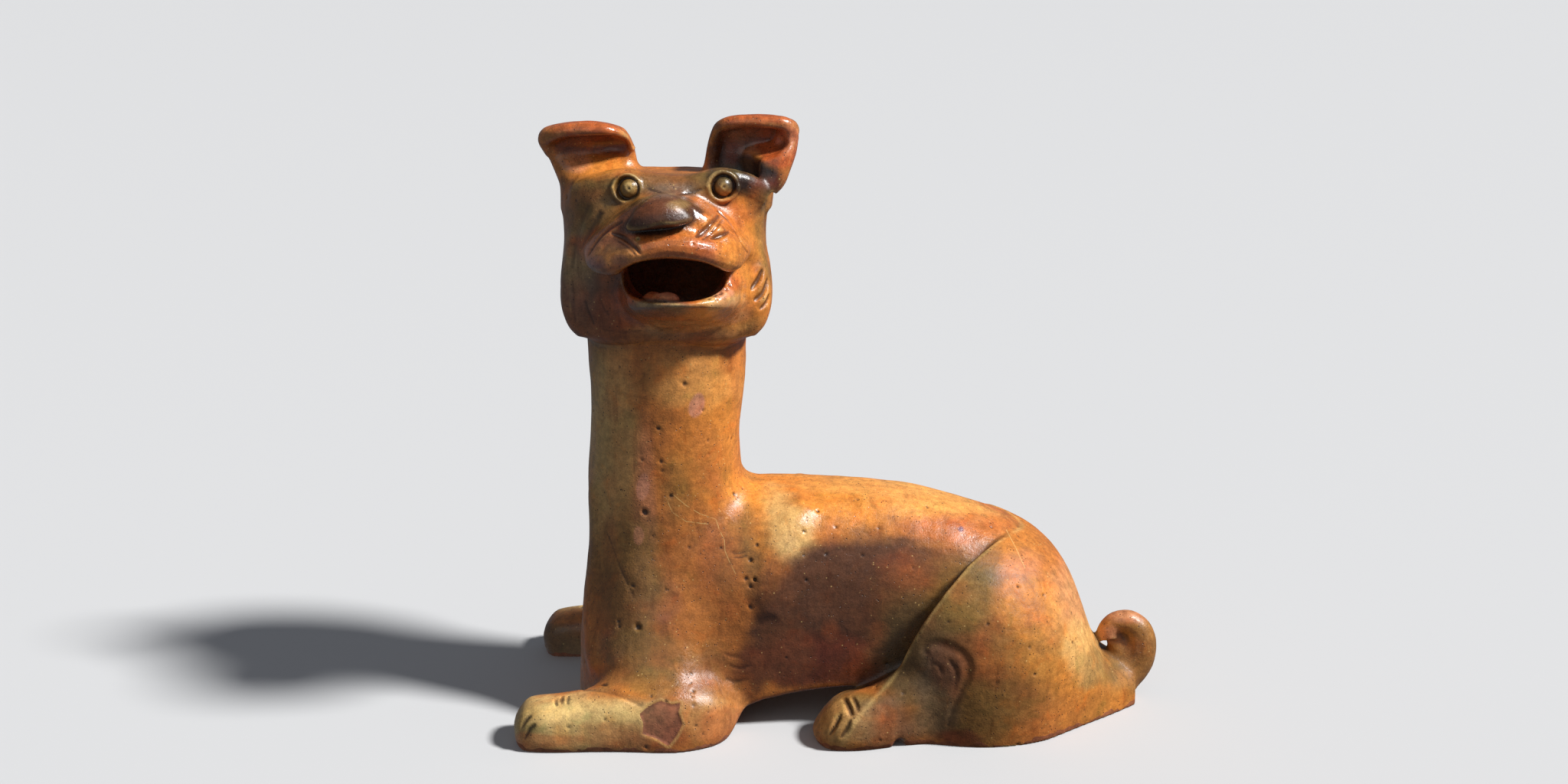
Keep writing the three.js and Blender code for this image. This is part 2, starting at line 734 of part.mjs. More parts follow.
// Rows of an ear from its root to its rim. up: share of the ear's height. out and width: shares of
// its half-width, for the row's middle and its reach. back, cup and fold: shares of the roll, for
// how far the middle lies back, and how far the inner and outer edges come forward. sag: how far
// the outer edge hangs, as a share of the height. The dog's left ear is folded over further.
const rightEarShares = [
  { up: 0.06, out: -0.5, width: 0.9, back: -0.8, cup: 0.1, fold: 0.1, sag: 0.05 },
  { up: 0.4, out: -0.35, width: 1.0, back: 0.0, cup: 0.25, fold: 0.25, sag: 0.05 },
  { up: 0.68, out: -0.2, width: 1.06, back: 0.2, cup: 0.35, fold: 0.3, sag: 0.05 },
  { up: 0.9, out: -0.08, width: 1.08, back: -0.15, cup: 0.2, fold: 0.25, sag: 0.08 },
  { up: 0.93, out: -0.02, width: 1.0, back: -0.8, cup: 0.0, fold: 0.0, sag: 0.12 },
];
const leftEarShares = [
  { up: 0.12, out: -0.2, width: 0.8, back: -0.35, cup: 0.1, fold: 0.85, sag: 0.18 },
  { up: 0.45, out: -0.05, width: 0.9, back: 0.2, cup: 0.2, fold: 1.25, sag: 0.26 },
  { up: 0.75, out: 0.12, width: 1.0, back: 0.25, cup: 0.3, fold: 1.2, sag: 0.24 },
  { up: 1.0, out: 0.2, width: 1.02, back: -0.1, cup: 0.2, fold: 0.8, sag: 0.2 },
  { up: 1.04, out: 0.22, width: 0.98, back: -0.7, cup: 0.0, fold: 0.25, sag: 0.18 },
];

// side: -1 is the ear at -X, the dog's right, and +1 the one at +X
function ear(side, shares) {
  const rows = shares.map((_, i) => i / (shares.length - 1));
  const read = (key, v) => smoothValue(rows, shares.map((row) => row[key]), v);
  const place = (u, v) => {
    const bend = u * u;
    const forward = u > 0 ? read("fold", v) : read("cup", v);
    const sag = u > 0 ? read("sag", v) : 0.3 * read("sag", v);
    return new THREE.Vector3(
      side * (earSpread + (read("out", v) + read("width", v) * u) * earHalfWidth),
      earRoll * (read("back", v) - forward * bend),
      headTop - earRootDrop + earHeight * (read("up", v) - sag * bend),
    );
  };
  return slabAround(place, earThickness, 10, 12).subtract(headOutside(lutingGap));
}

// Cheek ruffs: drop is a share of the ruff's length, width and depth are shares of its size.
const ruffShares = [
  { drop: 0, inward: 0.3, width: 0.5, depth: 0.5 },
  { drop: 0.35, inward: 0.05, width: 0.95, depth: 0.85 },
  { drop: 0.66, inward: 0.05, width: 1.05, depth: 1.0 },
  { drop: 1, inward: 1.25, width: 0.95, depth: 0.85 },
];

function ruff(side) {
  const stations = ruffShares.map(({ drop, inward, width, depth }) => ({
    at: new THREE.Vector3(
      side * (headHalfWidth - (1 + inward) * ruffThickness),
      ruffSetback - headFront,
      headBottom + ruffLift + (1 - drop) * ruffLength,
    ),
    half: depth * ruffHalfDepth,
    rise: width * ruffThickness,
  }));
  const options = { upwards: lengthways, rings: 9, sides: 14, roundStart: ruffThickness };
  return sweep(stations, { ...options, roundEnd: ruffThickness })
    .subtract(headSkin(lutingGap))
    .subtract(neckSkin(lutingGap));
}

// Tongue: it lies on the floor of the mouth.
function tongue() {
  const front = jawReach - 0.22 * tongueLength;
  const stations = [0, 0.5, 1].map((backShare) => ({
    at: new THREE.Vector3(
      faceOffset - 0.3 * tongueHalfWidth,
      -(front - (1 - backShare) * tongueLength),
      mouthBottom - (1 - backShare) * (mouthBottom - mouthFloor) * 0.75,
    ),
    half: tongueHalfWidth,
    rise: tongueHeight / 2,
  }));
  const options = { across: lengthways, upwards: upright, rings: 6, sides: 14 };
  const floor = mouthCutter(-lutingGap);
  return loft(stations, { ...options, roundStart: tongueRounding, roundEnd: tongueRounding })
    .subtract(jawSkin(lutingGap).subtract(floor))
    .subtract(headSkin(lutingGap).subtract(headSkin(-headWall - lutingGap)).subtract(floor));
}

// Legs

// back: share of the way from the toes to the elbow. width and height: shares of the leg's
// half-width and of the paw's height. in: share of the elbow's inset.
const forelegShares = [
  { back: 0, width: 0.86, height: 0.84, in: 0.08 },
  { back: 0.055, width: 0.96, height: 1.02, in: 0.05 },
  { back: 0.14, width: 1.0, height: 1.13, in: 0 },
  { back: 0.3, width: 0.97, height: 1.26, in: 0 },
  { back: 0.45, width: 0.98, height: 1.44, in: 0.05 },
  { back: 0.62, width: 1.0, height: 1.5, in: 0.17 },
  { back: 0.85, width: 1.05, height: 1.4, in: 0.45 },
  { back: 1, width: 0.93, height: 1.1, in: 1 },
];

// up: share of the shoulders' height. spread: share of their spread, beyond the chest's
// half-width. front and back: shares of their reach to the front and to the rear.
const shoulderShares = [
  { up: -0.07, spread: 1.0, front: 1.0, back: 1.0 },
  { up: 0.1, spread: 0.95, front: 1.0, back: 1.0 },
  { up: 0.24, spread: 0.79, front: 1.0, back: 0.97 },
  { up: 0.4, spread: 0.45, front: 0.98, back: 0.88 },
  { up: 0.6, spread: 0.05, front: 0.93, back: 0.76 },
  { up: 0.79, spread: -0.29, front: 0.85, back: 0.61 },
  { up: 1.0, spread: -0.67, front: 0.72, back: 0.42 },
];

function shoulders() {
  const stations = shoulderShares.map(({ up, spread, front, back }) => ({
    at: new THREE.Vector3(0, 0, up * shoulderHeight),
    half: chestHalfWidth + spread * shoulderSpread,
    up: front * (chestHalfLength - shoulderSetback),
    down: back * shoulderBack,
    fullness: 3,
  }));
  const directions = { across: sideways, upwards: lengthways.clone().negate() };
  return loft(stations, { ...directions, rings: 9, sides: 26 });
}

function foreleg(side) {
  const stations = forelegShares.map(({ back, width, height, in: inwards }) => ({
    at: new THREE.Vector3(
      -forelegReach + back * (forelegReach + elbowBack),
      side * (forelegSide - inwards * elbowInset),
      (height * pawHeight) / 2,
    ),
    half: width * forelegHalfWidth,
    up: (height * pawHeight) / 2,
    down: (height * pawHeight) / 2 + soleCut,
    fullness: 2.5,
    underFullness: 3.4,
  }));
  const options = { across: sideways, upwards: upright, rings: 12, sides: 16 };
  return loft(stations, { ...options, roundStart: pawRounding, roundEnd: elbowRounding })
    .add(shoulders().intersect(halfSpace(side, lutingGap / 2)))
    .intersect(aboveTable)
    .subtract(neckSkin(lutingGap))
    .subtract(trunkSkin(lutingGap));
}

// along, width and top are shares of the thigh slab's length, half-width and height.
const thighShares = [
  { along: 0.0, width: 0.67, top: 0.82 },
  { along: 0.09, width: 0.77, top: 0.93 },
  { along: 0.2, width: 0.89, top: 1.01 },
  { along: 0.31, width: 0.96, top: 1.03 },
  { along: 0.42, width: 1.0, top: 1.0 },
  { along: 0.52, width: 0.99, top: 0.955 },
  { along: 0.6, width: 0.94, top: 0.9 },
  { along: 0.67, width: 0.86, top: 0.835 },
  { along: 0.73, width: 0.75, top: 0.74 },
  { along: 0.785, width: 0.64, top: 0.6 },
  { along: 0.83, width: 0.55, top: 0.415 },
  { along: 0.88, width: 0.47, top: 0.265 },
  { along: 0.93, width: 0.37, top: 0.205 },
  { along: 1.0, width: 0.24, top: 0.15 },
];

function thighSkin(grow) {
  const stations = thighShares.map(({ along, width, top }) => {
    const waist = Math.min(0.3 * thighHeight, (top * thighHeight) / 2.4);
    return {
      at: new THREE.Vector3(thighStart + along * thighLength, 0, waist),
      half: width * thighHalfWidth,
      up: top * thighHeight - waist,
      down: flankReach,
      fullness: 2.15,
      underFullness: 2.6,
    };
  });
  return loft(stations, { across: sideways, upwards: upright, rings: 17, sides: 26, grow });
}

// The thigh's front edge lies in one slanting plane that falls from the back to the hind foot.
// Each point of it is given by its shares of the thigh's length, half-width and height.
const thighEdgeShares = [
  [0.146, 0.87, 0.35],
  [0.403, 0.66, 0.88],
  [0.58, 0.15, 0.92],
];

function thighSpace(side, gap) {
  const [foot, flank, back] = thighEdgeShares.map(
    ([along, out, up]) =>
      new THREE.Vector3(thighStart + along * thighLength, out * thighHalfWidth, up * thighHeight),
  );
  const normal = flank.sub(foot).cross(back.sub(foot)).normalize();
  if (normal.x < 0) normal.negate();
  const turn = new THREE.Quaternion().setFromUnitVectors(lengthways, normal);
  const size = 2 * worldReach;
  const box = new THREE.BoxGeometry(size, size, size).translate(size / 2 + gap, 0, 0);
  box.applyQuaternion(turn).translate(foot.x, foot.y, foot.z).scale(1, side, 1);
  return solidFrom(box);
}

function thigh(side) {
  return thighSkin(0)
    .intersect(aboveTable)
    .intersect(thighSpace(side, 0))
    .intersect(halfSpace(side, lutingGap / 2))
    .subtract(trunkSkin(lutingGap));
}

// back: share of the hind foot's length. width and height: shares of the hind paw's size. in:
// share of the heel's inset.
const hindFootShares = [
  { back: 0, width: 0.73, height: 0.47, in: 0.14 },
  { back: 0.1, width: 0.93, height: 0.69, in: 0.08 },
  { back: 0.24, width: 1.0, height: 0.87, in: 0 },
  { back: 0.4, width: 0.97, height: 0.97, in: 0 },
  { back: 0.57, width: 0.93, height: 1.1, in: 0.2 },
  { back: 0.77, width: 0.87, height: 1.21, in: 0.57 },
  { back: 1, width: 0.8, height: 1.21, in: 1 },
];

function hindFoot(side) {
  const stations = hindFootShares.map(({ back, width, height, in: inwards }) => ({
    at: new THREE.Vector3(
      hindToe + back * hindFootLength,
      side * (hindFootSide - inwards * hindHeelInset),
      (height * hindPawHeight) / 2,
    ),
    half: width * hindPawHalfWidth,
    up: (height * hindPawHeight) / 2,
    down: (height * hindPawHeight) / 2 + soleCut,
    fullness: 2.3,
    underFullness: 3,
  }));
  const options = { across: sideways, upwards: upright, rings: 12, sides: 18 };
  return loft(stations, { ...options, roundStart: hindRounding, roundEnd: hindRounding })
    .intersect(aboveTable)
    .subtract(thighSkin(lutingGap).intersect(thighSpace(side, -lutingGap)))
    .subtract(trunkSkin(lutingGap));
}

// Tail: along and up are shares of its reach from the rump and of its height, and strand and side
// are shares of its thickness, in the plane of the curl and across it.
const tailShares = [
  { along: -0.33, up: 0.17, strand: 1.5, side: 1.5 },
  { along: 0.12, up: 0.19, strand: 1.48, side: 1.45 },
  { along: 0.45, up: 0.25, strand: 1.38, side: 1.35 },
  { along: 0.67, up: 0.4, strand: 1.18, side: 1.18 },
  { along: 0.735, up: 0.58, strand: 1.02, side: 1.02 },
  { along: 0.68, up: 0.74, strand: 0.86, side: 0.9 },
  { along: 0.53, up: 0.825, strand: 0.71, side: 0.8 },
  { along: 0.35, up: 0.81, strand: 0.62, side: 0.7 },
  { along: 0.24, up: 0.73, strand: 0.62, side: 0.66 },
  { along: 0.24, up: 0.66, strand: 0.62, side: 0.64 },
];

function tail() {
  const stations = tailShares.map(({ along, up, strand, side }) => ({
    at: new THREE.Vector3(trunkLength + along * tailReach, 0, up * tailHeight),
    half: strand * tailThickness,
    rise: side * tailThickness,
  }));
  return sweep(stations, { upwards: sideways, rings: 22, sides: 14, roundEnd: tailTipRounding })
    .intersect(aboveTable)
    .subtract(trunkSkin(lutingGap))
    .subtract(thighSkin(lutingGap));
}

// Glazed clay: amber over a red body, thinner and redder on the ears and face, thicker and
// greener on the thighs
const amberGlaze = new THREE.MeshStandardMaterial({ color: 0xa8672e, roughness: 0.28, metalness: 0 });
const russetGlaze = new THREE.MeshStandardMaterial({ color: 0xa04a22, roughness: 0.25, metalness: 0 });
const oliveGlaze = new THREE.MeshStandardMaterial({ color: 0x7a6234, roughness: 0.3, metalness: 0 });
const strawGlaze = new THREE.MeshStandardMaterial({ color: 0xc09a4c, roughness: 0.3, metalness: 0 });
const bareClay = new THREE.MeshStandardMaterial({ color: 0x9a5236, roughness: 0.8, metalness: 0 });

const figure = new THREE.Group();
figure.add(
  pieceMesh("neck_column", neckColumn(), amberGlaze),
  pieceMesh("trunk_left_half", trunkHalf(-1), amberGlaze),
  pieceMesh("trunk_right_half", trunkHalf(1), amberGlaze),
  pieceMesh("thigh_left", thigh(-1), oliveGlaze),
  pieceMesh("thigh_right", thigh(1), oliveGlaze),
  pieceMesh("foreleg_left", foreleg(-1), strawGlaze),
  pieceMesh("foreleg_right", foreleg(1), strawGlaze),
  pieceMesh("hind_foot_left", hindFoot(-1), oliveGlaze),
  pieceMesh("hind_foot_right", hindFoot(1), oliveGlaze),
  pieceMesh("tail", tail(), amberGlaze),
);

// The head and what it carries share the neck's axis.
figure.add(
  pieceMesh("head_shell", headShell(), amberGlaze),
  pieceMesh("muzzle", muzzle(), russetGlaze),
  pieceMesh("lower_jaw", lowerJaw(), russetGlaze),
  pieceMesh("nose", nose(), amberGlaze),
  pieceMesh("eye_left", eyePellet(eyePlaces[1]), strawGlaze),
  pieceMesh("eye_right", eyePellet(eyePlaces[0]), strawGlaze),
  pieceMesh("ear_left", ear(1, leftEarShares), russetGlaze),
  pieceMesh("ear_right", ear(-1, rightEarShares), russetGlaze),
  pieceMesh("cheek_ruff_left", ruff(1), amberGlaze),
  pieceMesh("cheek_ruff_right", ruff(-1), amberGlaze),
  pieceMesh("tongue", tongue(), bareClay),
);

// The figure stands on the middle of its own base.
const bounds = new THREE.Box3().setFromObject(figure);
figure.position.set(
  -(bounds.min.x + bounds.max.x) / 2,
  -(bounds.min.y + bounds.max.y) / 2,
  -bounds.min.z,
);

export default figure;
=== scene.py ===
"""A recumbent watchdog in lead-glazed earthenware, modelled as a potter would: in soft clay.

Every form is laid on a block of clay (a distance field on a grid) and smoothed into its
neighbours. Lines, pinholes and chips are cut with tools that Geometry Nodes make. The fired
skin is then parted along the CAD model's own joints, so that each piece stands for its node,
and glazed. Sizes are in millimetres from the neck's axis, the spine and the table, as in the
CAD source, until a piece becomes a mesh in metres.
"""

import json
import logging
import math
from dataclasses import dataclass, field
from enum import Enum
from typing import Sequence

import bpy
import numpy as np
import openvdb as vdb
from mathutils import Euler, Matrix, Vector
from mathutils.bvhtree import BVHTree


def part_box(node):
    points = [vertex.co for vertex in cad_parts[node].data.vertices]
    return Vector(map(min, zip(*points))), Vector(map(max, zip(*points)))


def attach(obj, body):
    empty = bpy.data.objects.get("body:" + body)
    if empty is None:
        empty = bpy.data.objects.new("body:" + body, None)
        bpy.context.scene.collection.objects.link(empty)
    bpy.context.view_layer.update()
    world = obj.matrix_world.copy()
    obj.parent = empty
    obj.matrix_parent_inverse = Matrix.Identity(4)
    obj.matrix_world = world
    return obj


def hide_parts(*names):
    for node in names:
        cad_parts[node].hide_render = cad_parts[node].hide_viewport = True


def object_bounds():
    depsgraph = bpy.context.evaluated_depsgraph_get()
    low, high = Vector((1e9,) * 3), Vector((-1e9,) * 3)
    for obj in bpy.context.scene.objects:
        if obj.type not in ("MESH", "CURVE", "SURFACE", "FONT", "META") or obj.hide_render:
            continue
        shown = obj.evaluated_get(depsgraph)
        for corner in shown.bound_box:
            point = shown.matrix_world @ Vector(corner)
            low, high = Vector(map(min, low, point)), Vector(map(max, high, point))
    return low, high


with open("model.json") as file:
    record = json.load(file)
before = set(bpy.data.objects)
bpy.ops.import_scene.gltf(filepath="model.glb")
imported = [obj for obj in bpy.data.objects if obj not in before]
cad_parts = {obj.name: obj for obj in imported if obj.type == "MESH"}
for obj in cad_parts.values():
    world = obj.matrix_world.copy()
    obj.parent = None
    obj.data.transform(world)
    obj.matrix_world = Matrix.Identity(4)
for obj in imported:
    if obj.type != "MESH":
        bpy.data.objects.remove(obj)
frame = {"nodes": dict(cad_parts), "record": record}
CAD_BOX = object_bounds()

log = logging.getLogger("dog")

Array = np.ndarray
Point = tuple[float, float, float]
Pair = tuple[float, float]
Mark = Pair  # a point of the picture
Row = tuple[float, ...]
Rows = tuple[Row, ...]
Place = tuple[slice, ...]
Socket = bpy.types.NodeSocket

MILLIMETRE = 0.001
SHARPEST = 0.02  # a rounded end's last section, as a share of its full size
CROWDING = 0.6  # how much closer a loft's sections stand towards its ends
NECK_FRONT = -47.0  # where the neck column's node begins, measured from the neck's axis
SPINE_SHIFT = 5.276  # from the spine to the middle of the figure's width
SHIFT = np.array([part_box("neck_column")[0].x / MILLIMETRE - NECK_FRONT, SPINE_SHIFT, 0.0])
PICTURE_STEP = 0.37  # what a step of the picture covers on the figure
INSIDE = 0.1  # the fired clay stays this far inside the CAD's box
CLAY_BOX = [np.array(corner) / MILLIMETRE - SHIFT + way * INSIDE for corner, way in zip(CAD_BOX, (1, -1))]


class Slot(Enum):
    """The record's material slots."""

    AMBER = "amber_glaze"
    RUSSET = "russet_glaze"
    OLIVE = "olive_glaze"
    STRAW = "straw_glaze"
    CLAY = "bare_clay"


class Axis(Enum):
    """The way a loft runs, as the pair of directions across it and up it."""

    LENGTHWAYS = ((0.0, 1.0, 0.0), (0.0, 0.0, 1.0))
    UPRIGHT = ((1.0, 0.0, 0.0), (0.0, 1.0, 0.0))
    FORWARDS = ((1.0, 0.0, 0.0), (0.0, 0.0, 1.0))


# Forms


@dataclass(frozen=True)
class Form:
    """A closed skin: points in millimetres, and faces of three or four corners."""

    points: Array
    quads: Array
    triangles: Array

    def box(self) -> tuple[Array, Array]:
        """Its lowest and highest corners."""
        return self.points.min(0), self.points.max(0)


def unit(values: Array) -> Array:
    """Numbers held between 0 and 1."""
    return np.clip(values, 0, 1)


def below(values: Array, start: Array | float, width: float) -> Array:
    """A share that grows from 0 to 1 while the values fall from a start over a width."""
    return unit((start - values) / width)


def ease(t: Array) -> Array:
    """A share from 0 to 1 that starts and ends gently."""
    return t * t * (3 - 2 * t)


def distances_along(points: Array) -> Array:
    """How far along a path each of its points lies."""
    return np.concatenate([[0], np.cumsum(np.linalg.norm(np.diff(points, axis=0), axis=1))])


def turning(turn: Point) -> Array:
    """The matrix that turns by angles in degrees."""
    return np.array(Euler([math.radians(t) for t in turn]).to_matrix())


def read_lattice(values: Array, first: Array, t: Array) -> Array:
    """Reads a lattice between its points, from a place's first corner and its share of the way on."""
    total = np.zeros(len(t), np.float32)
    for corner in np.ndindex(2, 2, 2):
        weight = np.prod(np.where(corner, t, 1 - t), axis=1)
        total += weight * values[tuple((first + corner).T)]
    return total


def fading(away: Array, width: float) -> Array:
    """How strongly a thin line shows at some distances from its middle."""
    return np.exp(-((away / width) ** 2))


def smooth_rows(places: Array, values: Array, at: Array) -> Array:
    """Reads rows of numbers along a natural cubic spline.

    Args:
        places: where each row stands, in rising order.
        values: one row for each place.
        at: the places to read.

    Returns:
        One row for each place that was read.
    """
    gap = np.diff(places)
    slope = np.diff(values, axis=0) / gap[:, None]
    count = len(places)
    system = np.eye(count)
    bend = np.zeros_like(values, dtype=float)
    for k in range(1, count - 1):
        system[k, k - 1 : k + 2] = gap[k - 1], 2 * (gap[k - 1] + gap[k]), gap[k]
        bend[k] = 6 * (slope[k] - slope[k - 1])
    bend = np.linalg.solve(system, bend)
    i = np.clip(np.searchsorted(places, at, "right") - 1, 0, count - 2)
    span = gap[i][:, None]
    b = (at - places[i])[:, None] / span
    a = 1 - b
    curve = (a**3 - a) * bend[i] + (b**3 - b) * bend[i + 1]
    return a * values[i] + b * values[i + 1] + curve * span**2 / 6


def skin_of_rings(rings: Array) -> Form:
    """Joins rings of points (rings, sides, 3) into a closed skin with a fan over each end."""
    count, sides = rings.shape[:2]
    points = np.concatenate([rings.reshape(-1, 3), rings[[0, -1]].mean(1)])
    k = np.arange(sides)
    after = (k + 1) % sides
    first = (np.arange(count - 1) * sides)[:, None]
    quads = np.stack([first + k, first + after, first + sides + after, first + sides + k], -1)
    last, hub = (count - 1) * sides, count * sides
    fans = [np.stack([after, k, np.full(sides, hub)], -1)]
    fans.append(np.stack([last + k, last + after, np.full(sides, hub + 1)], -1))
    return Form(points, quads.reshape(-1, 4), np.concatenate(fans))


def loft(
    rows: Sequence[Row], axis: Axis, start: float = 0.0, end: float = 0.0, steps: int = 40, sides: int = 64
) -> Form:
    """A skin through oval sections that all face the same way.

    Args:
        rows: x, y, z of a section's middle, then its reach left, right, up and down, how square
            it is above and below, and how much narrower it is at the top.
        axis: the way the loft runs.
        start: how far the first end is rounded.
        end: how far the last end is rounded.
        steps: how many sections are made.
        sides: how many points a section has.

    Returns:
        The closed skin.
    """
    table = np.array(rows, float)
    places = distances_along(table[:, :3])
    length = places[-1]
    even = np.linspace(0, 1, steps + 1)
    eased = (1 - np.cos(np.pi * even)) / 2
    at = length * ((1 - CROWDING) * even + CROWDING * eased)
    read = smooth_rows(places, table, at)
    scale = np.ones(len(at))
    for reach, near in ((start, at), (end, length - at)):
        if reach:
            scale *= np.sqrt(unit(1 - (1 - unit(near / reach)) ** 2))
    scale = np.maximum(scale, SHARPEST)
    angle = np.linspace(0, 2 * np.pi, sides, endpoint=False)
    c, s = np.cos(angle)[None, :], np.sin(angle)[None, :]
    left, right, up, down, above, below, pinch = (read[:, i, None] for i in range(3, 10))
    power = 2 / np.where(s >= 0, above, below)
    x = np.sign(c) * np.abs(c) ** power
    y = np.sign(s) * np.abs(s) ** power
    across = x * np.where(x >= 0, right, left) * scale[:, None] * (1 - pinch * y)
    upwards = y * np.where(y >= 0, up, down) * scale[:, None]
    a, b = (np.array(v) for v in axis.value)
    return skin_of_rings(read[:, None, :3] + across[..., None] * a + upwards[..., None] * b)


def oval(
    middle: Point,
    half: float,
    up: float,
    down: float | None = None,
    above: float = 2.2,
    below: float | None = None,
    pinch: float = 0.0,
) -> Row:
    """A loft's row for a section that reaches as far to the left as to the right."""
    return (*middle, half, half, up, up if down is None else down, above, above if below is None else below, pinch)


def ball(middle: Point, radii: Point, turn: Point = (0.0, 0.0, 0.0), sides: int = 48) -> Form:
    """An ellipsoid, turned by angles in degrees."""
    z = np.cos(np.linspace(np.pi, 0, sides // 2 + 1))[1:-1]
    angle = np.linspace(0, 2 * np.pi, sides, endpoint=False)
    r = np.sqrt(1 - z * z)
    rings = np.stack([r[:, None] * np.cos(angle), r[:, None] * np.sin(angle), np.repeat(z[:, None], sides, 1)], -1)
    form = skin_of_rings(rings)
    points = form.points.copy()
    points[-2:] = (0, 0, -1), (0, 0, 1)
    return Form((points * np.array(radii)) @ turning(turn).T + np.array(middle), form.quads, form.triangles)


def prism(outline: Sequence[Mark], half: float) -> Form:
    """A flat outline in x and z, given depth along y to both sides."""
    return skin_of_rings(np.array([[(x, y, z) for x, z in outline] for y in (-half, half)]))


def cubic(values: Array, t: Array, axis: int, first: Array) -> Array:
    """Reads a lattice along one axis between its points, by a cubic through them."""
    p0, p1, p2, p3 = (np.take(values, first + k, axis) for k in (-1, 0, 1, 2))
    return p1 + 0.5 * t * (p2 - p0 + t * (2 * p0 - 5 * p1 + 4 * p2 - p3 + t * (3 * (p1 - p2) + p3 - p0)))


@dataclass(frozen=True)
class Drift:
    """Smooth random numbers in space, from -1 to 1."""

    spacing: float
    seed: int
    start: Point = (-100.0, -100.0, -20.0)
    size: Point = (380.0, 200.0, 350.0)

    def lattice(self) -> Array:
        """The random numbers themselves, on a lattice."""
        count = np.ceil(np.array(self.size) / self.spacing).astype(int) + 6
        return np.random.default_rng(self.seed).uniform(-1, 1, count).astype(np.float32)

    def on_grid(self, low: Array, cell: float, shape: Array) -> Array:
        """The numbers at every cell of a block."""
        values = self.lattice()
        for axis in range(3):
            at = (low[axis] + cell * np.arange(shape[axis]) - self.start[axis]) / self.spacing + 1
            first = np.floor(at).astype(int)
            spread = [1, 1, 1]
            spread[axis] = -1
            values = cubic(values, (at - first).astype(np.float32).reshape(spread), axis, first)
        return values

    def at(self, points: Array) -> Array:
        """The numbers at some points."""
        values = self.lattice()
        at = (points - np.array(self.start)) / self.spacing + 1
        first = np.floor(at).astype(int)
        return read_lattice(values, first, ease(at - first))


def turned(form: Form, pivot: Point, turn: Point) -> Form:
    """A form turned about a point, by angles in degrees."""
    return Form((form.points - np.array(pivot)) @ turning(turn).T + np.array(pivot), form.quads, form.triangles)


# The clay block


